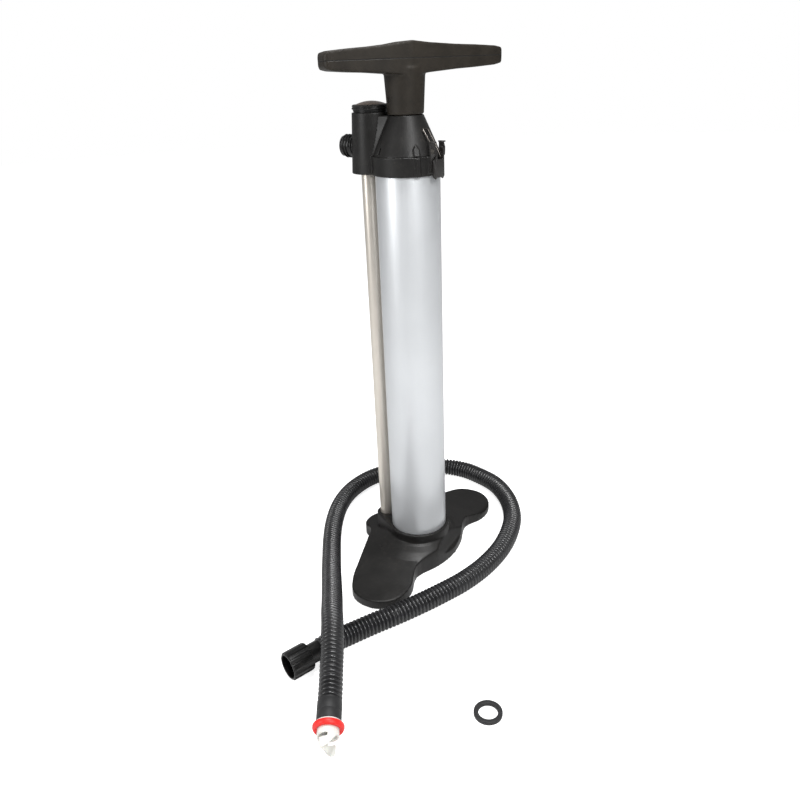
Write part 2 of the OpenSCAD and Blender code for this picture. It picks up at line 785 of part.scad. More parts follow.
// Half height of the handle along an arm of length n, with a wall of w taken off
function tall(w, n) = [
    [0, handle_mid - w], [0.18 * n, handle_mid - 2.2 - w],
    [0.46 * n, handle_mid - 4.2 - w], [0.69 * n, handle_tip + 1.9 - w],
    [0.9 * n - w, handle_tip + 0.5 - w], [0.975 * n - w, handle_tip - 1 - w],
    [n - w, handle_tip - 4 - w]
];
function deep(w, n) = [
    [0, 20 - w], [0.25 * n, 18.5 - w], [0.5 * n, 15.6 - w],
    [0.75 * n, 13.4 - w], [0.92 * n - w, 12.4 - w],
    [0.98 * n - w, 10.6 - w], [n - w, 7.5 - w]
];
// Closed outline of two arms, one on each side, each mirrored below
function both_arms(p, q) = concat(
    [for (i = [0 : len(p) - 1]) p[i]],
    [for (i = [len(p) - 1 : -1 : 0]) [p[i][0], -p[i][1]]],
    [for (i = [1 : len(q) - 1]) [-q[i][0], -q[i][1]]],
    [for (i = [len(q) - 1 : -1 : 1]) [-q[i][0], q[i][1]]]
);

module handle_solid(w) {
    intersection() {
        rotate([90, 0, 0]) translate([0, 0, -30])
            linear_extrude(60) polygon(both_arms(tall(w, arms[0]), tall(w, arms[1])));
        translate([0, 0, -30])
            linear_extrude(60) polygon(both_arms(deep(w, arms[0]), deep(w, arms[1])));
    }
}

module handle_screw_spots() {
    for (x = [0.34, 0.76]) {
        translate([x * arms[0], 0, 0]) children();
        translate([-x * arms[1], 0, 0]) children();
    }
}

module handle_frame() {
    translate([0, 0, handle_z]) rotate(handle_turn) children();
}

neck_top_r = 21;
neck_foot_r = 18.4;
module neck() {
    translate([0, 0, neck_z0 - handle_z])
        cylinder(r1 = neck_foot_r, r2 = neck_top_r, h = handle_z - neck_z0 - 8);
}

module handle_lower() {
    color(dark)
    handle_frame() difference() {
        union() {
            difference() {
                union() {
                    intersection() {
                        handle_solid(0);
                        translate([-handle_len, -40, -60]) cube([2 * handle_len, 80, 60]);
                    }
                    neck();
                }
                intersection() {
                    handle_solid(handle_wall);
                    translate([-handle_len, -40, -60]) cube([2 * handle_len, 80, 61]);
                }
            }
            intersection() {
                union() {
                    handle_screw_spots() translate([0, 0, -20]) cylinder(r = 4.5, h = 20);
                    translate([0, 0, -20]) cylinder(r = rod_r + 4, h = 20);
                }
                handle_solid(1);
            }
        }
        // rod socket, cross pin hole and screw holes
        translate([0, 0, neck_z0 - handle_z - 1]) cylinder(r = rod_r + fit_gap, h = 80);
        translate([-40, 0, neck_z0 + 14 - handle_z]) rotate([0, 90, 0]) cylinder(r = 2.5 + fit_gap, h = 80);
        handle_screw_spots() {
            translate([0, 0, -30]) cylinder(r = 1.7, h = 40);
            translate([0, 0, -30]) cylinder(r = 3.2, h = 24);
        }
    }
}

module handle_upper() {
    color(dark)
    handle_frame() difference() {
        union() {
            difference() {
                intersection() {
                    handle_solid(0);
                    translate([-handle_len, -40, 0]) cube([2 * handle_len, 80, 60]);
                }
                intersection() {
                    handle_solid(handle_wall);
                    translate([-handle_len, -40, -1]) cube([2 * handle_len, 80, 61]);
                }
            }
            intersection() {
                handle_screw_spots() cylinder(r = 4.5, h = 20);
                handle_solid(1);
            }
        }
        handle_screw_spots() translate([0, 0, -1]) cylinder(r = 1.5 + fit_gap, h = 7);
    }
}

module handle_screws() {
    color(steel)
    handle_frame() handle_screw_spots() translate([0, 0, -6]) screw_up(3, 2, 1.5, 11);
}

module handle_pin() {
    color(steel)
    translate([0, 0, neck_z0 + 14]) rotate([0, 90, handle_turn])
        translate([0, 0, -17.5]) cylinder(r = 2.5 - fit_gap, h = 35);
}

// ---------- hose ----------

function route_dir(p, i) =
    let (d = p[min(i + 1, len(p) - 1)] - p[max(i - 1, 0)]) d / norm(d);

// A tube of straight sides swept along the points
module swept_tube(p, r, sides) {
    rings = [
        for (i = [0 : len(p) - 1], k = [0 : sides - 1])
            let (d = route_dir(p, i), side = [d[1], -d[0], 0] / norm([d[1], -d[0], 0]),
                up = cross(side, d), a = (k + 0.5) * 360 / sides)
            p[i] + r * (cos(a) * side + sin(a) * up)
    ];
    walls = [
        for (i = [0 : len(p) - 2], k = [0 : sides - 1])
            let (a = i * sides + k, b = i * sides + (k + 1) % sides)
            [a, b, b + sides, a + sides]
    ];
    first = [for (k = [sides - 1 : -1 : 0]) k];
    last = [for (k = [0 : sides - 1]) (len(p) - 1) * sides + k];
    polyhedron(points = rings, faces = concat(walls, [first, last]), convexity = 10);
}

module hose() {
    color(rubber) swept_tube(route, hose_r, 12);
}

// Z axis along the nut's axis, out of its mouth, with z = 0 at the hose's end
module nut_frame() {
    translate([route[0][0], route[0][1], nut_z]) rotate([0, 90, nut_turn]) children();
}

tail_flange = 1.8;
tail_end = tail_len - nut_len + 4;
module hose_tail() {
    color(black) nut_frame() difference() {
        union() {
            translate([0, 0, 0.1]) cylinder(r = tail_r, h = tail_end);
            translate([0, 0, tail_end + 0.1 - tail_flange]) cylinder(r = tail_r + 1, h = tail_flange);
        }
        translate([0, 0, -1]) cylinder(r = tail_r - 3, h = tail_len);
    }
}

module hose_nut() {
    z0 = tail_len - nut_len;
    grips = 16;
    color(black) nut_frame() difference() {
        union() {
            translate([0, 0, z0]) cylinder(r = nut_d / 2 - 0.7, h = nut_len);
            around(grips, nut_d / 2 - 0.9)
                translate([0, -1.4, z0 + 2]) cube([0.9, 2.8, nut_len - 2]);
        }
        translate([0, 0, z0 - 1]) cylinder(r = tail_r + run_gap, h = 20);
        // recess of the washer and of the tail's flange, then the bore of the thread
        translate([0, 0, z0 + 1.9]) cylinder(r = nut_bore_r - 0.2, h = nut_len);
        translate([0, 0, z0 + 6.5]) cylinder(r = nut_bore_r, h = nut_len);
    }
}

module nut_washer() {
    color(rubber) nut_frame() translate([0, 0, tail_end + 0.4]) ring(nut_bore_r - 0.3, tail_r - 3, 1.6);
}

// Z axis along the adapter, towards its tip, with z = 0 at the hose's end
module adapter_frame() {
    translate(route[len(route) - 1]) rotate([0, 90 + adapter_dip, adapter_turn]) children();
}

module adapter_cuff() {
    color(rubber) adapter_frame() translate([0, 0, 0.1]) ring(cuff_r, spigot_r - 3, cuff_len);
}

module adapter_collar() {
    color(white) adapter_frame() translate([0, 0, cuff_len + 0.1])
        ring(cuff_r + 0.8, spigot_r - 3, collar_ring_t);
}

module adapter_gasket() {
    color(red) adapter_frame() translate([0, 0, cuff_len + collar_ring_t + 0.1])
        ring(spigot_r + 4.6, spigot_r - 0.15, gasket_ring_t);
}

module adapter_spigot() {
    z0 = cuff_len + collar_ring_t + 0.1;
    lip = z0 + gasket_ring_t;
    color(white) adapter_frame() difference() {
        union() {
            translate([0, 0, z0]) cylinder(r = spigot_r - 0.2, h = spigot_len);
            translate([0, 0, lip + 0.3]) cylinder(r = spigot_r, h = 4);
        }
        translate([0, 0, z0 - 1]) cylinder(r = spigot_r - 2.2, h = spigot_len + 2);
        // two J slots of the bayonet
        for (a = [0, 180]) rotate(a) {
            translate([0, -2.6, lip + 6]) cube([spigot_r + 2, 5.2, spigot_len]);
            translate([0, -2.6, lip + 4.6]) cube([spigot_r + 2, 7.6, 5.2]);
        }
    }
}

module spare_gasket() {
    color(rubber) translate([spare_at[0], spare_at[1], 0]) ring(spare_r, spare_hole_r, spare_t);
}

foot();
base_cover();
base_screws();
cylinder_tube();
lower_gasket();
lower_valve_plate();
lower_intake_valve();
lower_delivery_valve();
air_tube();
air_tube_seals();
head_body();
head_hood();
upper_gasket();
upper_valve_plate();
upper_intake_valve();
upper_delivery_valve();
rod_bush();
rod_seal();
outlet_port();
outlet_seal();
gauge_body();
gauge_dial();
gauge_needle();
gauge_glass();
gauge_bezel();
latch_bracket();
latch_screws();
latch_rivets();
latch_lever();
latch_bail();
piston();
piston_seals();
piston_rod();
piston_nut();
handle_lower();
handle_upper();
handle_screws();
handle_pin();
hose();
hose_tail();
hose_nut();
nut_washer();
adapter_cuff();
adapter_collar();
adapter_gasket();
adapter_spigot();
spare_gasket();
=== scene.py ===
"""Looks of a double action hand pump: finishes, smooth shells, a corrugated hose and its fittings."""
import json
from math import atan2, cos, pi, radians, sin, sqrt

import bmesh
import bpy
from bpy.props import FloatProperty, FloatVectorProperty, IntProperty, PointerProperty
from mathutils import Matrix, Vector


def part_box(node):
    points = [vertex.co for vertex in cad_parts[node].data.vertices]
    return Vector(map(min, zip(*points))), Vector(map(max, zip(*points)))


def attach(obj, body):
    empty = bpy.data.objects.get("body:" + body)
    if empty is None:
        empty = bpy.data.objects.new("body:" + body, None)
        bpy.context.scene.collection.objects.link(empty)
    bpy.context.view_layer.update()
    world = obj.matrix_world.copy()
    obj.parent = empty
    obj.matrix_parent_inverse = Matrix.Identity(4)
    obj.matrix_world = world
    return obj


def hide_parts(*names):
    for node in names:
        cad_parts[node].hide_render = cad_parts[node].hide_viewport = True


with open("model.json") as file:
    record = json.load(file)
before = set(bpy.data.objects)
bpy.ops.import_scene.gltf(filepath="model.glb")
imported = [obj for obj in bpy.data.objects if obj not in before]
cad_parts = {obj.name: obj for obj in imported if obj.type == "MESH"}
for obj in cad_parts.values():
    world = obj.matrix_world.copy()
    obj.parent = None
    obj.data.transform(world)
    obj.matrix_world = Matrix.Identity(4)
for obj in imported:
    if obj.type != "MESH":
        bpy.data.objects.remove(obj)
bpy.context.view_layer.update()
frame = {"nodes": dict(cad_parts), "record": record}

bl_info = {
    "name": "Double action hand pump",
    "version": (1, 0, 0),
    "blender": (4, 5, 0),
    "location": "View3D > Sidebar > Pump",
    "description": "Makes the finishes and the smooth pieces of a double action hand pump",
    "category": "Object",
}

MM = 0.001
TURN = 2 * pi

# The hose's route, in metres, from the nut's tail to the adapter's cuff
ROUTE = [
    (-0.226, 0.0, 0.0162), (-0.208, -0.0073, 0.0162), (-0.187, -0.016, 0.0136),
    (-0.162, -0.029, 0.0126), (-0.137, -0.044, 0.0124), (-0.110, -0.059, 0.0124),
    (-0.082, -0.073, 0.0124), (-0.050, -0.087, 0.0124), (-0.013, -0.097, 0.0124),
    (0.028, -0.101, 0.0124), (0.069, -0.097, 0.0124), (0.106, -0.086, 0.0124),
    (0.142, -0.064, 0.0124), (0.170, -0.034, 0.0124), (0.184, 0.0, 0.0124),
    (0.189, 0.028, 0.0124), (0.184, 0.058, 0.0124), (0.168, 0.089, 0.0124),
    (0.146, 0.115, 0.0124), (0.120, 0.134, 0.0124), (0.092, 0.144, 0.0124),
    (0.057, 0.146, 0.0124), (0.020, 0.138, 0.0124), (-0.017, 0.122, 0.0124),
    (-0.050, 0.103, 0.0124), (-0.079, 0.084, 0.0128), (-0.107, 0.065, 0.0155),
    (-0.137, 0.0435, 0.0215), (-0.167, 0.022, 0.030), (-0.190, 0.006, 0.037),
    (-0.208, -0.007, 0.0402), (-0.226, -0.019, 0.0398), (-0.244, -0.0305, 0.036),
    (-0.260, -0.040, 0.031), (-0.272, -0.0471, 0.0265), (-0.284, -0.054, 0.023),
]


# ---------- where the frame says things are ----------

def low(node):
    return Vector(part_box(node)[0])


def high(node):
    return Vector(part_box(node)[1])


def middle(node):
    return (low(node) + high(node)) / 2


def joint(name):
    return next(j for j in frame["record"]["behaviour"]["joints"] if j["name"] == name)


def mount(name):
    return next(m for m in frame["record"]["mounts"] if m["name"] == name)


def frame_along(origin, direction):
    """A turn and a shift that put +Z along direction, with its start at origin."""
    turn = Vector(direction).to_track_quat("Z", "Y").to_matrix().to_4x4()
    return Matrix.Translation(Vector(origin)) @ turn


# ---------- settings ----------

def colour(name, default, words):
    return FloatVectorProperty(name=name, description=words, default=default, size=3,
                               min=0, max=1, subtype="COLOR")


class PumpColours(bpy.types.PropertyGroup):
    """Base colours of the pump's finishes."""
    moulded: colour("Moulded black", (0.0085, 0.008, 0.0076), "Foot, head and nut")
    handle: colour("Handle", (0.0185, 0.0148, 0.0105), "Both shells of the handle")
    tube: colour("Cylinder", (0.70, 0.72, 0.74), "Anodised cylinder tube")
    air_tube: colour("Air tube", (0.76, 0.71, 0.64), "Drawn tube beside the cylinder")
    hose: colour("Hose", (0.006, 0.006, 0.007), "Corrugated hose")
    fitting: colour("Adapter", (0.80, 0.79, 0.74), "Bayonet spigot and its collar")
    gasket: colour("Red gasket", (0.80, 0.022, 0.018), "Gasket of the valve adapter")


class PumpSizes(bpy.types.PropertyGroup):
    """Sizes of the details that the frame leaves open."""
    hose_diameter: FloatProperty(name="Hose diameter", description="Over the ridges of the hose",
                                 default=0.024, min=0.02, max=0.028, unit="LENGTH")
    hose_pitch: FloatProperty(name="Hose pitch", description="From one ridge to the next",
                              default=0.0047, min=0.003, max=0.008, unit="LENGTH")
    hose_groove: FloatProperty(name="Hose groove", description="Depth between two ridges",
                               default=0.0024, min=0.0005, max=0.004, unit="LENGTH")
    nut_grips: IntProperty(name="Nut grips", description="Ribs around the hose nut",
                           default=18, min=8, max=30)
    thread_pitch: FloatProperty(name="Thread pitch", description="Pitch of the outlet's thread",
                                default=0.0036, min=0.002, max=0.005, unit="LENGTH")


class PumpStage(bpy.types.PropertyGroup):
    """Camera: where it stands, where it looks and its lens."""
    heading: FloatProperty(name="Heading", description="Direction the camera looks in, about Z",
                           default=radians(30.29), subtype="ANGLE")
    tilt: FloatProperty(name="Tilt", description="How far the camera looks down",
                        default=radians(24.32), subtype="ANGLE")
    roll: FloatProperty(name="Roll", description="Turn of the camera about its own axis",
                        default=radians(-2.40), subtype="ANGLE")
    lens: FloatProperty(name="Lens", description="Focal length for a 36 mm sensor",
                        default=32.99, min=10, max=200, unit="CAMERA")
    place: FloatVectorProperty(name="Place", description="Where the camera stands",
                               default=(-0.6926, -0.3839, 0.5697), size=3, subtype="TRANSLATION")


def colours():
    return bpy.context.scene.pump_colours


def sizes():
    return bpy.context.scene.pump_sizes


# ---------- shaders ----------

class Wire:
    """A value in a material, which arithmetic turns into Math nodes."""

    def __init__(self, tree, socket):
        self.tree = tree
        self.socket = socket

    def maths(self, operation, other, swap=False):
        node = self.tree.nodes.new("ShaderNodeMath")
        node.operation = operation
        for value, entry in zip((other, self) if swap else (self, other), node.inputs):
            if isinstance(value, Wire):
                self.tree.links.new(value.socket, entry)
            else:
                entry.default_value = value
        return Wire(self.tree, node.outputs[0])

    def __add__(self, other):
        return self.maths("ADD", other)

    def __radd__(self, other):
        return self.maths("ADD", other, True)

    def __sub__(self, other):
        return self.maths("SUBTRACT", other)

    def __rsub__(self, other):
        return self.maths("SUBTRACT", other, True)

    def __mul__(self, other):
        return self.maths("MULTIPLY", other)

    def __rmul__(self, other):
        return self.maths("MULTIPLY", other, True)


class Finish:
    """One material with a Principled shader."""

    def __init__(self, name, base, roughness, metallic=0.0, **fixed):
        self.material = bpy.data.materials.new(name)
        self.material.use_nodes = True
        self.tree = self.material.node_tree
        self.tree.nodes.clear()
        self.out = self.tree.nodes.new("ShaderNodeOutputMaterial")
        self.shader = self.tree.nodes.new("ShaderNodeBsdfPrincipled")
        self.tree.links.new(self.shader.outputs[0], self.out.inputs[0])
        self.feed("Base Color", (*base, 1) if len(base) == 3 else base)
        self.feed("Roughness", roughness)
        self.feed("Metallic", metallic)
        for socket, value in fixed.items():
            self.feed(socket.replace("_", " "), value)
        self.material.diffuse_color = (*base[:3], 1)

    def feed(self, socket, value):
        """Sets a socket of the Principled shader, or links a wire to it."""
        entry = self.shader.inputs[socket]
        if isinstance(value, Wire):
            self.tree.links.new(value.socket, entry)
        else:
            entry.default_value = value

    def node(self, kind, settings=None, inputs=None, out=0):
        """Adds a node, sets it up and returns one of its outputs as a wire."""
        node = self.tree.nodes.new(kind)
        for name, value in (settings or {}).items():
            if name == "stops":
                for place, stop in zip(node.color_ramp.elements, value):
                    place.position, place.color = stop
            else:
                setattr(node, name, value)
        for key, value in (inputs or {}).items():
            if isinstance(value, Wire):
                self.tree.links.new(value.socket, node.inputs[key])
            else:
                node.inputs[key].default_value = value
        return Wire(self.tree, node.outputs[out])

    def place(self, stretch=(1, 1, 1)):
        """Object coordinates, stretched along each axis."""
        at = self.node("ShaderNodeTexCoord", out=3)
        return self.node("ShaderNodeMapping", inputs={"Vector": at, "Scale": stretch})

    def noise(self, scale, detail=3.0, stretch=(1, 1, 1), rough=0.5):
        return self.node("ShaderNodeTexNoise", inputs={
            "Vector": self.place(stretch), "Scale": scale, "Detail": detail, "Roughness": rough})

    def spread(self, value, start, end, low_value=0.0, high_value=1.0):
        """Maps the range from start to end of a value onto another range."""
        return self.node("ShaderNodeMapRange", inputs={
            0: value, 1: start, 2: end, 3: low_value, 4: high_value})

    def mix(self, factor, one, other):
        """Blends two colours."""
        return self.node("ShaderNodeMix", {"data_type": "RGBA"}, {0: factor, 6: one, 7: other}, out=2)

    def bump(self, height, distance, strength=1.0, under=None):
        inputs = {"Height": height, "Distance": distance, "Strength": strength}
        if under is not None:
            inputs["Normal"] = under
        return self.node("ShaderNodeBump", inputs=inputs)


def full(rgb, factor=1.0):
    return tuple(min(1.0, c * factor) for c in rgb[:3]) + (1.0,)


FINISHES = {}


def finish_of(name):
    """A finish by name, made the first time that it is asked for."""
    if name not in FINISHES:
        FINISHES[name] = MAKERS[name]().material
    return FINISHES[name]


def moulded(name, base, roughness, grain=1.0, dust_colour=(0.050, 0.043, 0.034, 1)):
    """Satin moulded plastic: spark-eroded grain, faint flow marks and dusty scuffs."""
    f = Finish(name, base, roughness, Specular_IOR_Level=0.36)
    grain_noise = f.noise(2600, 2.0)
    flow = f.noise(38, 4.0, rough=0.6)
    scuffs = f.noise(520, 6.0, stretch=(1, 0.4, 0.7), rough=0.75)
    dust = f.spread(scuffs, 0.53, 0.75) * f.spread(flow, 0.38, 0.62)
    tint = f.mix(f.spread(flow, 0.35, 0.7), full(base, 0.8), full(base, 1.3))
    f.feed("Base Color", f.mix(dust * 0.55, tint, dust_colour))
    f.feed("Roughness", f.spread(flow, 0.3, 0.7, roughness - 0.06, roughness + 0.06) + dust * 0.12)
    f.feed("Normal", f.bump(grain_noise, 0.00006 * grain, 0.55, f.bump(flow, 0.0004, 0.25)))
    return f


def moulded_black():
    return moulded("moulded_black", tuple(colours().moulded), 0.42)


def moulded_dark():
    return moulded("moulded_dark", (0.03, 0.029, 0.028), 0.5)


def moulded_smooth():
    return moulded("moulded_smooth", (0.006, 0.006, 0.006), 0.32, 0.5)


def handle_satin():
    """Handle plastic, brownish, polished by hands towards its ends."""
    base = tuple(colours().handle)
    f = Finish("handle_satin", base, 0.48, Specular_IOR_Level=0.3)
    along = f.node("ShaderNodeVectorMath", {"operation": "LENGTH"}, {0: f.place((1, 1, 0))}, out=1)
    worn = f.spread(along, 0.055, 0.095)
    blotch = f.noise(60, 5.0, rough=0.65)
    grain_noise = f.noise(2200, 2.0)
    scratches = f.spread(f.noise(900, 3.0, stretch=(0.25, 0.25, 2.0), rough=0.7), 0.64, 0.76)
    tint = f.mix(f.spread(blotch, 0.35, 0.7), full(base, 0.8), full(base, 1.35))
    worked = f.mix(scratches * 0.25, tint, full(base, 2.2))
    height = f.node("ShaderNodeSeparateXYZ", inputs={0: f.place()}, out=2)
    away = (height - high("handle_lower").z).maths("ABSOLUTE", 0.0)
    seam = f.spread(away, 0.0002, 0.0006, 1.0, 0.0)
    f.feed("Base Color", f.mix(seam * 0.8, worked, (0.004, 0.004, 0.004, 1)))
    f.feed("Roughness", f.spread(blotch, 0.3, 0.7, 0.46, 0.58) - worn * 0.08)
    dip = f.bump(1.0 - seam, 0.0004, 0.8, f.bump(blotch, 0.0003, 0.3))
    f.feed("Normal", f.bump(grain_noise, 0.00006, 0.5, dip))
    return f


def metal(name, base, roughness, stretch, streak=0.05, metallic=1.0):
    """Metal with fine lines along one direction and a cloudy sheen."""
    f = Finish(name, base, roughness, metallic)
    lines = f.noise(900, 3.0, stretch=stretch, rough=0.6)
    cloud = f.noise(9, 3.0)
    marks = f.spread(f.noise(150, 6.0, rough=0.75), 0.66, 0.80)
    tint = f.mix(f.spread(cloud, 0.3, 0.7), full(base, 0.95), full(base, 1.04))
    f.feed("Base Color", f.mix(marks * 0.18, tint, full(base, 0.72)))
    f.feed("Roughness", f.spread(lines, 0.25, 0.75, roughness - streak, roughness + streak))
    f.feed("Normal", f.bump(lines, 0.00002, 0.35))
    return f


def anodised():
    return metal("anodised", tuple(colours().tube), 0.40, (1, 1, 0.012), 0.04, 0.55)


def drawn_tube():
    return metal("drawn_tube", tuple(colours().air_tube), 0.36, (1, 1, 0.012), 0.03, 0.6)


def bright_rod():
    return metal("bright_rod", (0.70, 0.71, 0.72), 0.22, (1, 1, 0.01), 0.05)


def zinc_steel():
    return metal("zinc_steel", (0.56, 0.55, 0.53), 0.3, (1, 1, 1), 0.06)


def dark_zinc():
    return metal("dark_zinc", (0.13, 0.12, 0.11), 0.34, (1, 1, 1), 0.06)


def coated_steel():
    """Black coated sheet steel, bare along a few rubbed spots."""
    f = Finish("coated_steel", (0.03, 0.028, 0.027), 0.36, 0.3)
    rubbed = f.spread(f.noise(260, 5.0, rough=0.7), 0.62, 0.70)
    f.feed("Base Color", f.mix(rubbed * 0.6, (0.03, 0.028, 0.027, 1), (0.30, 0.29, 0.28, 1)))
    f.feed("Metallic", f.spread(rubbed, 0.0, 1.0, 0.25, 0.85))
    f.feed("Normal", f.bump(f.noise(1800, 2.0), 0.00003, 0.4))
    return f


def soft_rubber(name, base, roughness):
    f = Finish(name, base, roughness, Specular_IOR_Level=0.4)
    powder = f.noise(700, 4.0, rough=0.7)
    f.feed("Base Color", f.mix(f.spread(powder, 0.35, 0.75), full(base, 0.9), full(base, 1.3)))
    f.feed("Roughness", f.spread(powder, 0.3, 0.7, roughness - 0.06, roughness + 0.06))
    f.feed("Normal", f.bump(powder, 0.00004, 0.4))
    return f


def black_rubber():
    return soft_rubber("black_rubber", (0.018, 0.018, 0.019), 0.55)


def red_rubber():
    f = soft_rubber("red_rubber", tuple(colours().gasket), 0.42)
    f.feed("Subsurface Weight", 0.08)
    return f


def hose_gloss():
    """Glossy extruded hose, with painted shade in its grooves and painted highlights along its ridges."""
    base = tuple(colours().hose)
    f = Finish("hose_gloss", base, 0.22, Specular_IOR_Level=0.75)
    smear = f.noise(55, 4.0, rough=0.6)
    fine = f.noise(1500, 3.0)
    # the groove attribute is 1 in the grooves and 0 on the ridges
    groove = f.node("ShaderNodeAttribute", {"attribute_name": "groove"}, out=2)
    # ridges painted up to three times lighter than the hose's own black: painted highlight
    ridge = f.mix(f.spread(smear, 0.4, 0.75), full(base, 1.5), full(base, 3.0))
    # grooves painted near black: painted shade
    f.feed("Base Color", f.mix(groove, ridge, full(base, 0.15)))
    f.feed("Roughness", f.spread(smear, 0.3, 0.7, 0.18, 0.28) + groove * 0.35)
    f.feed("Normal", f.bump(fine, 0.00003, 0.35))
    return f


def ivory_plastic():
    f = Finish("ivory_plastic", tuple(colours().fitting), 0.36, Specular_IOR_Level=0.5)
    base = tuple(colours().fitting)
    cloud = f.noise(90, 4.0)
    f.feed("Base Color", f.mix(f.spread(cloud, 0.35, 0.7), full(base, 0.93), full(base, 1.04)))
    f.feed("Roughness", f.spread(cloud, 0.3, 0.7, 0.32, 0.44))
    f.feed("Normal", f.bump(f.noise(1600, 2.0), 0.00003, 0.4))
    f.feed("Subsurface Weight", 0.06)
    return f


def dial_face():
    """Printed dial, dark and a little brown."""
    f = Finish("dial_face", (0.05, 0.04, 0.032), 0.5)
    f.feed("Base Color", f.mix(f.noise(700, 3.0), (0.042, 0.034, 0.027, 1), (0.065, 0.052, 0.042, 1)))
    return f


def dial_print():
    f = Finish("dial_print", (0.72, 0.70, 0.64), 0.5)
    f.feed("Base Color", f.mix(f.noise(900, 2.0), (0.66, 0.64, 0.58, 1), (0.76, 0.74, 0.68, 1)))
    return f


def needle_paint():
    f = Finish("needle_paint", (0.62, 0.03, 0.02), 0.35)
    f.feed("Base Color", f.mix(f.noise(400, 2.0), (0.58, 0.025, 0.02, 1), (0.68, 0.04, 0.03, 1)))
    return f


def lens_plastic():
    """Brown see-through lens, a little scratched; its brown is partly a smoked tint and partly a painted
    reflection of a brown room.
    """
    # brown base colour: partly the lens's smoked tint, partly a painted reflection of a brown room
    f = Finish("lens_plastic", (0.075, 0.055, 0.042), 0.06, Specular_IOR_Level=0.5)
    slant = f.node("ShaderNodeLayerWeight", inputs={"Blend": 0.5}, out=1)
    f.feed("Alpha", f.spread(slant, 0.15, 0.7, 0.35, 0.92))
    haze = f.spread(f.noise(500, 4.0, stretch=(1, 0.3, 1), rough=0.7), 0.55, 0.8, 0.04, 0.22)
    f.feed("Roughness", haze)
    return f


MAKERS = {make.__name__: make for make in (
    moulded_black, moulded_dark, moulded_smooth, handle_satin, anodised, drawn_tube, bright_rod,
    zinc_steel, dark_zinc, coated_steel, black_rubber, red_rubber, hose_gloss, ivory_plastic, dial_face,
    dial_print, needle_paint, lens_plastic)}


# ---------- making pieces ----------

def add_piece(name, mesh, finish, body, replaces=(), smooth=40):
    """Links a mesh as a piece, with its finish, its body and the nodes that it replaces."""
    piece = bpy.data.objects.new(name, mesh)
    bpy.context.scene.collection.objects.link(piece)
    mesh.materials.clear()
    mesh.materials.append(finish_of(finish))
    if smooth:
        mesh.shade_smooth()
        mesh.set_sharp_from_angle(angle=radians(smooth))
    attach(piece, body)
    if replaces:
        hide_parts(*replaces)
    return piece


def to_mesh(name, bm, recalculate=True):
    bmesh.ops.remove_doubles(bm, verts=bm.verts, dist=1e-6)
    if recalculate:
        bmesh.ops.recalc_face_normals(bm, faces=bm.faces)
    mesh = bpy.data.meshes.new(name)
    bm.to_mesh(mesh)
    bm.free()
    return mesh


def rounded(points, radius, steps=4):
    """A closed outline with each corner turned into an arc, no larger than its sides allow."""
    result = []
    count = len(points)
    for i, corner in enumerate(points):
        here = Vector(corner)
        before = Vector(points[i - 1]) - here
        after = Vector(points[(i + 1) % count]) - here
        if here.x < 1e-7 or min(before.length, after.length) < 1e-7:
            result.append(tuple(here))
            continue
        cut = min(radius, 0.42 * before.length, 0.42 * after.length)
        start = here + before.normalized() * cut
        end = here + after.normalized() * cut
        for k in range(steps + 1):
            t = k / steps
            result.append(tuple((1 - t) ** 2 * start + 2 * t * (1 - t) * here + t * t * end))
    return result


def lathe(bm, outline, segments=96):
    """Spins a closed outline of (radius, height) about Z."""
    verts = [bm.verts.new((max(r, 0.0), 0.0, z)) for r, z in outline]
    edges = [bm.edges.new((verts[i - 1], verts[i])) for i in range(len(verts))
             if not (verts[i - 1].co.x == 0.0 and verts[i].co.x == 0.0)]
    bmesh.ops.spin(bm, geom=verts + edges, cent=(0, 0, 0), axis=(0, 0, 1), angle=TURN,
                   steps=segments, use_merge=True, use_duplicate=False)
    bmesh.ops.remove_doubles(bm, verts=bm.verts, dist=1e-6)


def ring_outline(outer, inner, bottom, top):
    return [(inner, bottom), (outer, bottom), (outer, top), (inner, top)]


def turned_piece(name, outlines, where, finish, body, replaces=(), segments=96, extra=None):
    """A piece made of spun outlines, put at a place by a matrix."""
    bm = bmesh.new()
    for outline in outlines:
        lathe(bm, outline, segments)
    if extra is not None:
        extra(bm)
    bmesh.ops.transform(bm, matrix=where, verts=bm.verts)
    return add_piece(name, to_mesh(name, bm), finish, body, replaces)


def softened(name, nodes, voxel, passes, finish, body, smooth=50):
    """A merged copy of CAD nodes with its edges and inner corners rounded, as a moulding has them."""
    bm = bmesh.new()
    for node in nodes:
        bm.from_mesh(frame["nodes"][node].data)
    bmesh.ops.remove_doubles(bm, verts=bm.verts, dist=1e-6)
    mesh = bpy.data.meshes.new(name)
    bm.to_mesh(mesh)
    bm.free()
    piece = add_piece(name, mesh, finish, body, nodes, smooth=0)
    remesh = piece.modifiers.new("even", "REMESH")
    remesh.mode = "VOXEL"
    remesh.voxel_size = voxel
    remesh.use_smooth_shade = True
    relax = piece.modifiers.new("relax", "SMOOTH")
    relax.factor = 0.5
    relax.iterations = passes
    apply_modifiers(piece)
    piece.data.set_sharp_from_angle(angle=radians(smooth))
    return piece


def apply_modifiers(piece):
    """Puts the result of a piece's modifiers into its mesh."""
    graph = bpy.context.evaluated_depsgraph_get()
    mesh = bpy.data.meshes.new_from_object(piece.evaluated_get(graph))
    piece.modifiers.clear()
    old = piece.data
    piece.data = mesh
    mesh.name = old.name
    bpy.data.meshes.remove(old)


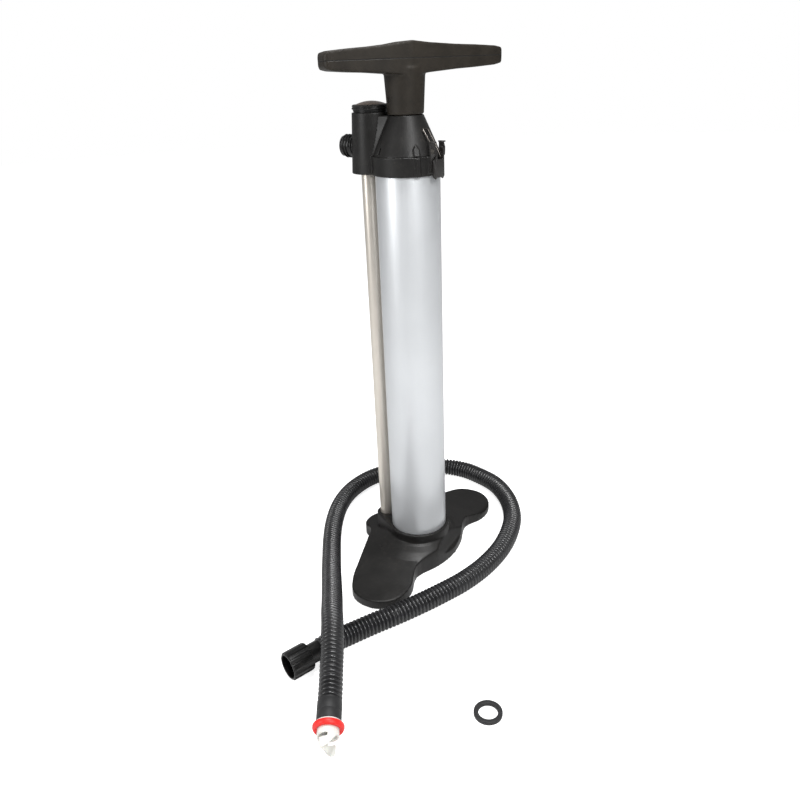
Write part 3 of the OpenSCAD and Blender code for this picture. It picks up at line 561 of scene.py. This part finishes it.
def edged(name, node, width, finish, body):
    """A copy of a flat-sided CAD node with narrow rounded edges."""
    bm = bmesh.new()
    bm.from_mesh(frame["nodes"][node].data)
    bmesh.ops.remove_doubles(bm, verts=bm.verts, dist=1e-6)
    bmesh.ops.dissolve_limit(bm, angle_limit=radians(1), verts=bm.verts, edges=bm.edges)
    sharp = [e for e in bm.edges if e.is_manifold and e.calc_face_angle(0) > radians(40)]
    bmesh.ops.bevel(bm, geom=sharp, offset=width, offset_type="OFFSET", segments=2, profile=0.5,
                    affect="EDGES", clamp_overlap=True, material=-1)
    bmesh.ops.triangulate(bm, faces=[f for f in bm.faces if len(f.verts) > 4])
    mesh = bpy.data.meshes.new(name)
    bm.to_mesh(mesh)
    bm.free()
    return add_piece(name, mesh, finish, body, (node,), smooth=35)


def repaint(node, finish):
    """Gives a CAD node its finish."""
    data = frame["nodes"][node]
    for place in data.material_slots:
        place.material = finish_of(finish)
    if not data.material_slots:
        data.data.materials.append(finish_of(finish))


def smooth_path(points, step):
    """An even series of points along a smooth curve through the given ones."""
    pts = [Vector(p) for p in points]
    pts = [2 * pts[0] - pts[1]] + pts + [2 * pts[-1] - pts[-2]]
    dense = []
    for a, b, c, d in zip(pts, pts[1:], pts[2:], pts[3:]):
        for k in range(40):
            t = k / 40
            dense.append(0.5 * (2 * b + (c - a) * t + (2 * a - 5 * b + 4 * c - d) * t * t
                                + (3 * b - a - 3 * c + d) * t ** 3))
    dense.append(pts[-2])
    lengths = [0.0]
    for a, b in zip(dense, dense[1:]):
        lengths.append(lengths[-1] + (b - a).length)
    total = lengths[-1]
    count = round(total / step)
    result, i = [], 0
    for k in range(count + 1):
        s = total * k / count
        while i < len(dense) - 2 and lengths[i + 1] < s:
            i += 1
        t = (s - lengths[i]) / (lengths[i + 1] - lengths[i])
        result.append(dense[i].lerp(dense[i + 1], t))
    return result, total


def swept(name, path, radii, resolution, grooves=()):
    """A closed round tube along a path, with a radius and, if given, a groove's depth for each point."""
    widest = max(radii)
    curve = bpy.data.curves.new(name, "CURVE")
    curve.dimensions = "3D"
    curve.bevel_depth = widest
    curve.bevel_resolution = resolution
    curve.use_fill_caps = True
    curve.twist_mode = "Z_UP"
    spline = curve.splines.new("POLY")
    spline.points.add(len(path) - 1)
    for spot, p, r in zip(spline.points, path, radii):
        spot.co = (*p, 1)
        spot.radius = r / widest
    holder = bpy.data.objects.new(name, curve)
    bpy.context.scene.collection.objects.link(holder)
    mesh = bpy.data.meshes.new_from_object(holder.evaluated_get(bpy.context.evaluated_depsgraph_get()))
    bpy.data.objects.remove(holder)
    bpy.data.curves.remove(curve)
    if grooves:
        # the rings of the two caps come first
        count = len(mesh.vertices)
        sides = count // (len(path) + 2)
        layer = mesh.attributes.new("groove", "FLOAT", "POINT")
        layer.data.foreach_set("value", [grooves[max(0, i // sides - 2)] for i in range(count)])
    bm = bmesh.new()
    bm.from_mesh(mesh)
    bpy.data.meshes.remove(mesh)
    return to_mesh(name, bm)


class Maker:
    """Common parts of the pump's operators."""
    bl_options = {"REGISTER", "UNDO"}


# ---------- stage ----------

class PUMP_OT_stage(Maker, bpy.types.Operator):
    """Camera, lamps, world, floor and backdrop"""
    bl_idname = "pump.stage"
    bl_label = "Stage"

    def execute(self, context):
        scene = context.scene
        settings = scene.pump_stage
        scene.view_settings.view_transform = "Standard"
        ahead = Vector((cos(settings.heading) * cos(settings.tilt),
                        sin(settings.heading) * cos(settings.tilt), -sin(settings.tilt)))
        right = ahead.cross(Vector((0, 0, 1))).normalized()
        up = right.cross(ahead)
        across = right * cos(settings.roll) + up * sin(settings.roll)
        upward = up * cos(settings.roll) - right * sin(settings.roll)
        camera = bpy.data.cameras.new("camera")
        camera.lens = settings.lens
        camera.sensor_width = 36
        camera.clip_start = 0.01
        holder = bpy.data.objects.new("camera", camera)
        turn = Matrix((across, upward, -ahead)).transposed().to_4x4()
        holder.matrix_world = Matrix.Translation(settings.place) @ turn
        scene.collection.objects.link(holder)
        scene.camera = holder
        self.lamp(scene, "key", (-0.9, -1.3, 1.5), 0.8, 22)
        self.lamp(scene, "fill", (-1.5, 0.9, 0.9), 0.8, 10)
        self.lamp(scene, "top", (-0.15, -0.15, 2.0), 0.6, 26)
        self.world(scene)
        self.floor(scene)
        return {"FINISHED"}

    def lamp(self, scene, name, place, size, power):
        light = bpy.data.lights.new(name, "AREA")
        light.shape = "DISK"
        light.size = size
        light.energy = power
        holder = bpy.data.objects.new(name, light)
        aim = Vector((0, 0, 0.28)) - Vector(place)
        turn = aim.to_track_quat("-Z", "Y").to_matrix().to_4x4()
        holder.matrix_world = Matrix.Translation(place) @ turn
        scene.collection.objects.link(holder)

    def world(self, scene):
        world = bpy.data.worlds.new("studio")
        world.use_nodes = True
        tree = world.node_tree
        tree.nodes.clear()
        out = tree.nodes.new("ShaderNodeOutputWorld")
        path = tree.nodes.new("ShaderNodeLightPath")
        soft = tree.nodes.new("ShaderNodeBackground")
        soft.inputs["Color"].default_value = (1, 1, 1, 1)
        soft.inputs["Strength"].default_value = 0.3
        white = tree.nodes.new("ShaderNodeBackground")
        white.inputs["Color"].default_value = (1, 1, 1, 1)
        white.inputs["Strength"].default_value = 1.0
        blend = tree.nodes.new("ShaderNodeMixShader")
        tree.links.new(path.outputs["Is Camera Ray"], blend.inputs[0])
        tree.links.new(soft.outputs[0], blend.inputs[1])
        tree.links.new(white.outputs[0], blend.inputs[2])
        tree.links.new(blend.outputs[0], out.inputs[0])
        scene.world = world

    def floor(self, scene):
        bm = bmesh.new()
        bmesh.ops.create_circle(bm, cap_ends=True, radius=6.0, segments=96)
        bmesh.ops.translate(bm, verts=bm.verts, vec=(0, 0, -0.0004))
        mesh = to_mesh("floor", bm)
        if mesh.polygons[0].normal.z < 0:
            mesh.flip_normals()
        ground = bpy.data.objects.new("floor", mesh)
        scene.collection.objects.link(ground)
        f = Finish("floor_white", (0.80, 0.80, 0.80), 0.9)
        straight = f.node("ShaderNodeLightPath", out=0)
        f.feed("Emission Color", f.mix(straight, (0, 0, 0, 1), (1, 1, 1, 1)))
        f.feed("Emission Strength", 0.80)
        mesh.materials.append(f.material)


# ---------- foot and tubes ----------

class PUMP_OT_foot(Maker, bpy.types.Operator):
    """Moulded foot with rounded edges, its cover and screws"""
    bl_idname = "pump.foot"
    bl_label = "Foot"

    def execute(self, context):
        softened("foot_moulding", ("foot",), 0.001, 6, "moulded_black", "root")
        repaint("base_cover", "moulded_dark")
        repaint("base_screws", "zinc_steel")
        return {"FINISHED"}


class PUMP_OT_tubes(Maker, bpy.types.Operator):
    """Anodised cylinder and the drawn air tube"""
    bl_idname = "pump.tubes"
    bl_label = "Tubes"

    def execute(self, context):
        for node, wall, finish in (("cylinder_tube", 0.0016, "anodised"),
                                   ("air_tube", 0.0012, "drawn_tube")):
            centre = middle(node)
            outer = (high(node).x - low(node).x) / 2
            outline = rounded(ring_outline(outer, outer - wall, low(node).z, high(node).z), 0.0003, 2)
            turned_piece(node + "_turned", [outline], Matrix.Translation((centre.x, centre.y, 0)),
                         finish, "root", (node,), 160)
        return {"FINISHED"}


# ---------- head ----------

class PUMP_OT_head(Maker, bpy.types.Operator):
    """Collar with its turret, the hood over it, and the rod's bush"""
    bl_idname = "pump.head"
    bl_label = "Head"

    def execute(self, context):
        for name, node in (("collar_moulding", "head_body"), ("hood_moulding", "head_hood")):
            softened(name, (node,), 0.0006, 4, "moulded_black", "root")
        for node, finish in (("rod_bush", "ivory_plastic"), ("rod_seal", "black_rubber")):
            repaint(node, finish)
        return {"FINISHED"}


class PUMP_OT_outlet(Maker, bpy.types.Operator):
    """Outlet with a real helical thread"""
    bl_idname = "pump.outlet"
    bl_label = "Outlet"

    def execute(self, context):
        node = "outlet_port"
        thread = mount("outlet_thread")
        bore = mount("outlet_bore")["dims"]["r_mm"] * MM
        crest = thread["dims"]["r_mm"] * MM
        length = thread["dims"]["length_mm"] * MM
        root_r = crest - 0.0014
        tip = high(node).y
        start = tip - length
        where = frame_along((0, 0, middle(node).z), (0, 1, 0))
        body = [(bore, low(node).y), (bore + 0.0019, low(node).y), (bore + 0.0019, start - 0.0008),
                (root_r, start - 0.0008), (root_r, tip), (bore, tip)]
        pitch = sizes().thread_pitch
        turns = (length - pitch) / pitch

        def helix(bm):
            half = 0.0008
            ridge = [(root_r - 0.0004, -1.35 * half), (crest - 0.0003, -0.5 * half), (crest, 0.0),
                     (crest - 0.0003, 0.5 * half), (root_r - 0.0004, 1.35 * half)]
            verts = [bm.verts.new((r, 0, start + pitch * 0.45 + z)) for r, z in ridge]
            edges = [bm.edges.new((verts[i - 1], verts[i])) for i in range(len(verts))]
            face = bm.faces.new(verts)
            steps = int(48 * turns)
            swept = bmesh.ops.spin(bm, geom=verts + edges, cent=(0, 0, 0), axis=(0, 0, 1),
                                   angle=TURN * turns, steps=steps, use_duplicate=False,
                                   dvec=(0, 0, pitch * turns / steps))
            last = [e for e in swept["geom_last"] if isinstance(e, bmesh.types.BMEdge)]
            bmesh.ops.contextual_create(bm, geom=last)
            return face

        turned_piece("outlet_threaded", [rounded(body, 0.0004, 2)], where, "moulded_smooth", "root",
                     (node,), 72, helix)
        repaint("outlet_seal", "black_rubber")
        return {"FINISHED"}


class PUMP_OT_gauge(Maker, bpy.types.Operator):
    """Gauge with bezel, domed lens, dial marks and needle"""
    bl_idname = "pump.gauge"
    bl_label = "Gauge"

    def execute(self, context):
        where = Matrix.Translation((middle("gauge_bezel").x, middle("gauge_bezel").y, 0))
        rim = (high("gauge_bezel").x - low("gauge_bezel").x) / 2
        bottom, top = low("gauge_bezel").z, high("gauge_bezel").z
        face_r = (high("gauge_dial").x - low("gauge_dial").x) / 2
        dial_top = high("gauge_dial").z
        bezel = [(face_r, bottom + 0.0012), (rim - 0.0011, bottom + 0.0012), (rim - 0.0011, bottom),
                 (rim - 0.0002, bottom), (rim, bottom + 0.0012), (rim - 0.0009, bottom + 0.0022),
                 (rim - 0.0001, bottom + 0.0031), (rim - 0.0012, top), (face_r + 0.0003, top),
                 (face_r, top - 0.0012)]
        turned_piece("gauge_rim", [rounded(bezel, 0.0004, 3)], where, "moulded_smooth", "root",
                     ("gauge_bezel",), 128)
        neck_r = (high("gauge_body").x - low("gauge_body").x) / 2
        neck_z = high("head_body").z
        case = [(0, neck_z - 0.004), (0.005, neck_z - 0.004), (0.005, neck_z + 0.0001),
                (neck_r - 0.0006, neck_z + 0.0001), (neck_r - 0.0006, neck_z + 0.0009),
                (neck_r, neck_z + 0.0012), (neck_r, high("gauge_body").z), (0, high("gauge_body").z)]
        turned_piece("gauge_case", [case], where, "moulded_smooth", "root",
                     ("gauge_body",), 128)
        self.dial(where, face_r, dial_top)
        self.lens(where, face_r)
        repaint("gauge_needle", "needle_paint")
        return {"FINISHED"}

    def dial(self, where, face_r, dial_top):
        dial_low = low("gauge_dial").z
        plate = [(0, dial_low), (face_r, dial_low), (face_r, dial_top), (0, dial_top)]
        turned_piece("dial_plate", [plate], where, "dial_face", "root",
                     ("gauge_dial",), 96)
        bm = bmesh.new()
        marks = 27
        for i in range(marks + 1):
            angle = radians(-135) - radians(270) * i / marks
            large = i % 3 == 0
            size = (0.0030 if large else 0.0018, 0.0005 if large else 0.0003, 0.00004)
            turn = Matrix.Rotation(angle, 4, "Z")
            at = turn @ Matrix.Translation((face_r - 0.0012 - size[0] / 2, 0, dial_top + size[2] / 2))
            bmesh.ops.create_cube(bm, size=1, matrix=at @ Matrix.Diagonal((*size, 1)))
        bmesh.ops.transform(bm, matrix=where, verts=bm.verts)
        for i in range(10):
            angle = radians(-135) - radians(270) * i / 9
            reach = face_r - 0.0062
            spot = where @ Vector((reach * cos(angle), reach * sin(angle), dial_top))
            self.number(bm, str(i), spot)
        add_piece("dial_marks", to_mesh("dial_marks", bm), "dial_print", "root")

    def number(self, bm, digits, spot):
        """Adds a plain number to the marks, read from the latch's side."""
        words = bpy.data.curves.new("number", "FONT")
        words.body = digits
        words.size = 0.0034
        words.extrude = 0.00002
        words.align_x = words.align_y = "CENTER"
        holder = bpy.data.objects.new("number", words)
        bpy.context.scene.collection.objects.link(holder)
        shape = bpy.data.meshes.new_from_object(holder)
        shape.transform(Matrix.Translation(spot + Vector((0, 0, 0.00002))))
        bm.from_mesh(shape)
        bpy.data.objects.remove(holder)
        bpy.data.curves.remove(words)
        bpy.data.meshes.remove(shape)

    def lens(self, where, face_r):
        edge = face_r + 0.0002
        base = low("gauge_glass").z
        rise = high("gauge_glass").z - base - 0.0001
        dome = (edge * edge + rise * rise) / (2 * rise)
        steps = 14
        reach = atan2(edge, dome - rise)
        centre_z = base - (dome - rise)
        sweep = [reach * (1 - k / steps) for k in range(steps + 1)]
        outer = [(dome * sin(t), centre_z + dome * cos(t)) for t in sweep]
        outer[-1] = (0.0, outer[-1][1])
        inner_scale = (dome - 0.0009) / dome
        inner = [(r * inner_scale, max(base, centre_z + (z - centre_z) * inner_scale))
                 for r, z in reversed(outer)]
        inner[0] = (0.0, inner[0][1])
        turned_piece("gauge_lens", [outer + inner], where, "lens_plastic", "root",
                     ("gauge_glass",), 96)


# ---------- latch ----------

class PUMP_OT_latch(Maker, bpy.types.Operator):
    """Toggle latch: sheet steel bracket and lever, round wire bail"""
    bl_idname = "pump.latch"
    bl_label = "Latch"

    def execute(self, context):
        edged("latch_plate", "latch_bracket", 0.0003, "coated_steel", "root")
        edged("latch_handle", "latch_lever", 0.00035, "coated_steel", "latch_lever")
        repaint("latch_screws", "dark_zinc")
        repaint("latch_rivets", "dark_zinc")
        self.bail()
        return {"FINISHED"}

    def bail(self):
        """The wire bail, bent from one round wire."""
        node = "latch_bail"
        wire = 0.0009
        hinge = joint("bail_turn")
        pivot = Vector(hinge["pos_m"])
        turn = atan2(-hinge["axis"][1], -hinge["axis"][0])
        out = Matrix.Rotation(turn, 4, "Z")
        pivot_y = -Vector((pivot.x, pivot.y)).length
        reach, leg = 0.0060, 0.0034
        top_z = high(node).z - wire
        knee = (leg, pivot_y + 0.0065, pivot.z + 0.0135)
        half = [(reach, pivot_y, pivot.z), (leg + 0.0008, pivot_y, pivot.z),
                (leg, pivot_y + 0.0003, pivot.z + 0.001), knee,
                (leg, -0.0258, top_z - 0.0009), (leg - 0.001, -0.0253, top_z)]
        points = [out @ Vector(p) for p in half + [(-x, y, z) for x, y, z in reversed(half)]]
        mesh = swept("bail_wire", points, [wire] * len(points), 4)
        add_piece("bail_wire", mesh, "dark_zinc", "latch_bail", (node,))


# ---------- handle and rod ----------

class PUMP_OT_handle(Maker, bpy.types.Operator):
    """T handle of two shells with a parting line, its neck, screws and pin"""
    bl_idname = "pump.handle"
    bl_label = "Handle"

    def execute(self, context):
        softened("handle_shells", ("handle_lower", "handle_upper"), 0.0008, 12, "handle_satin", "handle")
        repaint("handle_screws", "zinc_steel")
        repaint("handle_pin", "coated_steel")
        return {"FINISHED"}


class PUMP_OT_plunger(Maker, bpy.types.Operator):
    """Piston rod, and the finishes of the piston"""
    bl_idname = "pump.plunger"
    bl_label = "Plunger"

    def execute(self, context):
        node = "piston_rod"
        flange = (high(node).x - low(node).x) / 2
        r = flange - 0.0025
        flange_z = high("piston").z + 0.0003
        outline = [(r - 0.0016, low(node).z), (r, low(node).z), (r, flange_z), (flange, flange_z),
                   (flange, flange_z + 0.003), (r, flange_z + 0.003), (r, high(node).z),
                   (r - 0.0016, high(node).z)]
        turned_piece("rod_turned", [outline], Matrix(), "bright_rod", "handle", (node,))
        for name, finish in (("piston", "moulded_dark"), ("piston_seals", "black_rubber"),
                             ("piston_nut", "zinc_steel")):
            repaint(name, finish)
        return {"FINISHED"}


# ---------- hose ----------

class PUMP_OT_hose(Maker, bpy.types.Operator):
    """Corrugated hose, laid along its route"""
    bl_idname = "pump.hose"
    bl_label = "Hose"

    def execute(self, context):
        size = sizes()
        samples = 8
        path, total = smooth_path(ROUTE, size.hose_pitch / samples)
        grooves = [(0.5 + 0.5 * cos(TURN * i / samples)) ** 1.5 for i in range(len(path))]
        radii = [size.hose_diameter / 2 - size.hose_groove * g for g in grooves]
        mesh = swept("hose_corrugated", path, radii, 8, grooves)
        piece = add_piece("hose_corrugated", mesh, "hose_gloss", "root", ("hose",),
                          smooth=80)
        return {"FINISHED"}


class PUMP_OT_hose_nut(Maker, bpy.types.Operator):
    """Ribbed nut, its washer and the hose's tail"""
    bl_idname = "pump.hose_nut"
    bl_label = "Hose nut"

    def execute(self, context):
        where = frame_along(ROUTE[0][:2] + (joint("nut_spin")["pos_m"][2],), joint("nut_spin")["axis"])
        tail = [(0.0075, 0.0001), (0.0105, 0.0001), (0.0105, 0.0153), (0.0115, 0.0153),
                (0.0115, 0.0171), (0.0075, 0.0171)]
        turned_piece("hose_tail_turned", [rounded(tail, 0.0004, 2)], where, "moulded_smooth", "root",
                     ("hose_tail",), 64)
        self.nut(where)
        repaint("nut_washer", "black_rubber")
        return {"FINISHED"}

    def nut(self, where):
        """A cup with grips: the outer wall follows flats between raised ribs."""
        start, end, wall_r = 0.013, 0.038, 0.0143
        inside, recess = 0.0123, 0.0195
        grips = sizes().nut_grips
        around = grips * 8
        rows = [(inside - 0.0017, start), (0.0125, start), (0.0137, start + 0.0008),
                (wall_r, start + 0.0026), (wall_r, end - 0.0012), (wall_r - 0.0004, end - 0.0004),
                (wall_r - 0.0009, end), (inside + 0.0004, end), (inside, end - 0.0005),
                (inside, recess), (inside - 0.0002, recess), (inside - 0.0002, start + 0.0019),
                (inside - 0.0017, start + 0.0019)]
        bm = bmesh.new()
        lathe(bm, rows, around)
        for vert in bm.verts:
            spot = vert.co
            radius = sqrt(spot.x ** 2 + spot.y ** 2)
            if radius < 0.0137 or spot.z > end - 0.0011:
                continue
            phase = (atan2(spot.y, spot.x) / TURN * grips) % 1.0
            lift = 0.0007 if 0.22 < phase < 0.78 else -0.00025
            spot.x *= 1 + lift / radius
            spot.y *= 1 + lift / radius
        bmesh.ops.transform(bm, matrix=where, verts=bm.verts)
        add_piece("nut_shell", to_mesh("nut_shell", bm), "moulded_smooth", "hose_nut",
                  ("hose_nut",), smooth=28)


class PUMP_OT_adapter(Maker, bpy.types.Operator):
    """Cuff, collar, red gasket and bayonet of the valve adapter"""
    bl_idname = "pump.adapter"
    bl_label = "Adapter"

    def execute(self, context):
        where = frame_along(ROUTE[-1], mount("adapter_spigot")["axis"])
        cuff = [(0.0075, 0.0001), (0.0116, 0.0001), (0.012, 0.0006), (0.012, 0.0105), (0.0118, 0.011),
                (0.012, 0.0115), (0.012, 0.0205), (0.0116, 0.0211), (0.0075, 0.0211)]
        turned_piece("cuff_turned", [cuff], where, "black_rubber", "root",
                     ("adapter_cuff",), 96)
        collar = rounded(ring_outline(0.0128, 0.0075, 0.0211, 0.0231), 0.0006, 3)
        turned_piece("fitting_collar", [collar], where, "ivory_plastic", "root",
                     ("adapter_collar",), 96)
        gasket = [(0.0104, 0.0231), (0.0146, 0.0231), (0.0151, 0.0240), (0.0151, 0.0262),
                  (0.0139, 0.0286), (0.0112, 0.0286), (0.0104, 0.0278)]
        turned_piece("gasket_red", [rounded(gasket, 0.0012, 6)], where, "red_rubber", "root",
                     ("adapter_gasket",), 128)
        self.bayonet(where)
        return {"FINISHED"}

    def bayonet(self, where):
        """A thin tube whose end is cut into two rising ramps that end in hooks."""
        outer, wall = 0.0105, 0.0016
        start, lip, end = 0.0232, 0.0286, 0.0481
        columns, rows = 192, 96
        bm = bmesh.new()
        bmesh.ops.create_grid(bm, x_segments=columns, y_segments=rows, size=0.5)
        remove = []
        for face in bm.faces:
            spot = face.calc_center_median()
            turn = ((spot.x + 0.5) * 2) % 1.0
            height = start + (spot.y + 0.5) * (end - start)
            rise = (height - lip) / (end - lip)
            if turn < 0.66:
                rim = 0.34 + 0.66 * sin(min(1.0, turn / 0.5) * pi / 2) ** 1.4
                rim -= 0.5 * max(0.0, turn - 0.56) / 0.10
            else:
                rim = 0.30
            slot = 0.34 < turn < 0.60 and 0.30 < rise < 0.46 + 0.12 * (turn - 0.34)
            mouth = 0.60 <= turn < 0.66 and rise > 0.30
            if rise > rim or slot or mouth:
                remove.append(face)
        bmesh.ops.delete(bm, geom=remove, context="FACES")
        edge = [v for v in bm.verts if v.is_boundary and abs(abs(v.co.x) - 0.5) > 1e-4 and v.co.y > -0.49]
        for _ in range(8):
            bmesh.ops.smooth_vert(bm, verts=edge, factor=0.5, use_axis_x=True, use_axis_y=True)
        for vert in bm.verts:
            angle = (vert.co.x + 0.5) * TURN
            height = start + (vert.co.y + 0.5) * (end - start)
            vert.co = Vector((outer * cos(angle), outer * sin(angle), height))
        bmesh.ops.remove_doubles(bm, verts=bm.verts, dist=1e-6)
        bmesh.ops.recalc_face_normals(bm, faces=bm.faces)
        bmesh.ops.solidify(bm, geom=bm.faces, thickness=wall)
        bmesh.ops.transform(bm, matrix=where @ Matrix.Rotation(radians(205), 4, "Z"), verts=bm.verts)
        add_piece("bayonet", to_mesh("bayonet", bm), "ivory_plastic", "root",
                  ("adapter_spigot",), smooth=50)


class PUMP_OT_spare_gasket(Maker, bpy.types.Operator):
    """Spare gasket on the floor"""
    bl_idname = "pump.spare_gasket"
    bl_label = "Spare gasket"

    def execute(self, context):
        node = "spare_gasket"
        centre = middle(node)
        outer = (high(node).x - low(node).x) / 2
        section = rounded(ring_outline(outer, outer - 0.0045, low(node).z, high(node).z), 0.0008, 4)
        turned_piece("gasket_spare", [section], Matrix.Translation((centre.x, centre.y, 0)),
                     "black_rubber", "root", (node,), 96)
        return {"FINISHED"}


class PUMP_OT_inner_parts(Maker, bpy.types.Operator):
    """Finishes of the seals, plates and valves inside"""
    bl_idname = "pump.inner_parts"
    bl_label = "Inner parts"

    def execute(self, context):
        for node in ("lower_gasket", "upper_gasket", "air_tube_seals", "lower_intake_valve",
                     "lower_delivery_valve", "upper_intake_valve", "upper_delivery_valve"):
            repaint(node, "black_rubber")
        for node in ("lower_valve_plate", "upper_valve_plate"):
            repaint(node, "moulded_dark")
        return {"FINISHED"}


OPERATORS = (
    PUMP_OT_stage, PUMP_OT_hose_nut, PUMP_OT_adapter, PUMP_OT_hose, PUMP_OT_foot, PUMP_OT_tubes,
    PUMP_OT_head, PUMP_OT_outlet, PUMP_OT_gauge, PUMP_OT_latch, PUMP_OT_handle, PUMP_OT_plunger,
    PUMP_OT_spare_gasket, PUMP_OT_inner_parts,
)


class PUMP_PT_panel(bpy.types.Panel):
    """Lists the pump's operators and settings"""
    bl_idname = "PUMP_PT_panel"
    bl_label = "Hand pump"
    bl_space_type = "VIEW_3D"
    bl_region_type = "UI"
    bl_category = "Pump"

    def draw(self, context):
        for group in (context.scene.pump_colours, context.scene.pump_sizes, context.scene.pump_stage):
            box = self.layout.box()
            for name in group.__annotations__:
                box.prop(group, name)
        for operator in OPERATORS:
            self.layout.operator(operator.bl_idname)


CLASSES = (PumpColours, PumpSizes, PumpStage) + OPERATORS + (PUMP_PT_panel,)


def register():
    for item in CLASSES:
        bpy.utils.register_class(item)
    bpy.types.Scene.pump_colours = PointerProperty(type=PumpColours)
    bpy.types.Scene.pump_sizes = PointerProperty(type=PumpSizes)
    bpy.types.Scene.pump_stage = PointerProperty(type=PumpStage)


def unregister():
    del bpy.types.Scene.pump_colours
    del bpy.types.Scene.pump_sizes
    del bpy.types.Scene.pump_stage
    for item in reversed(CLASSES):
        bpy.utils.unregister_class(item)


def main():
    register()
    for operator in OPERATORS:
        group, name = operator.bl_idname.split(".")
        getattr(getattr(bpy.ops, group), name)()


if __name__ == "__main__":
    main()
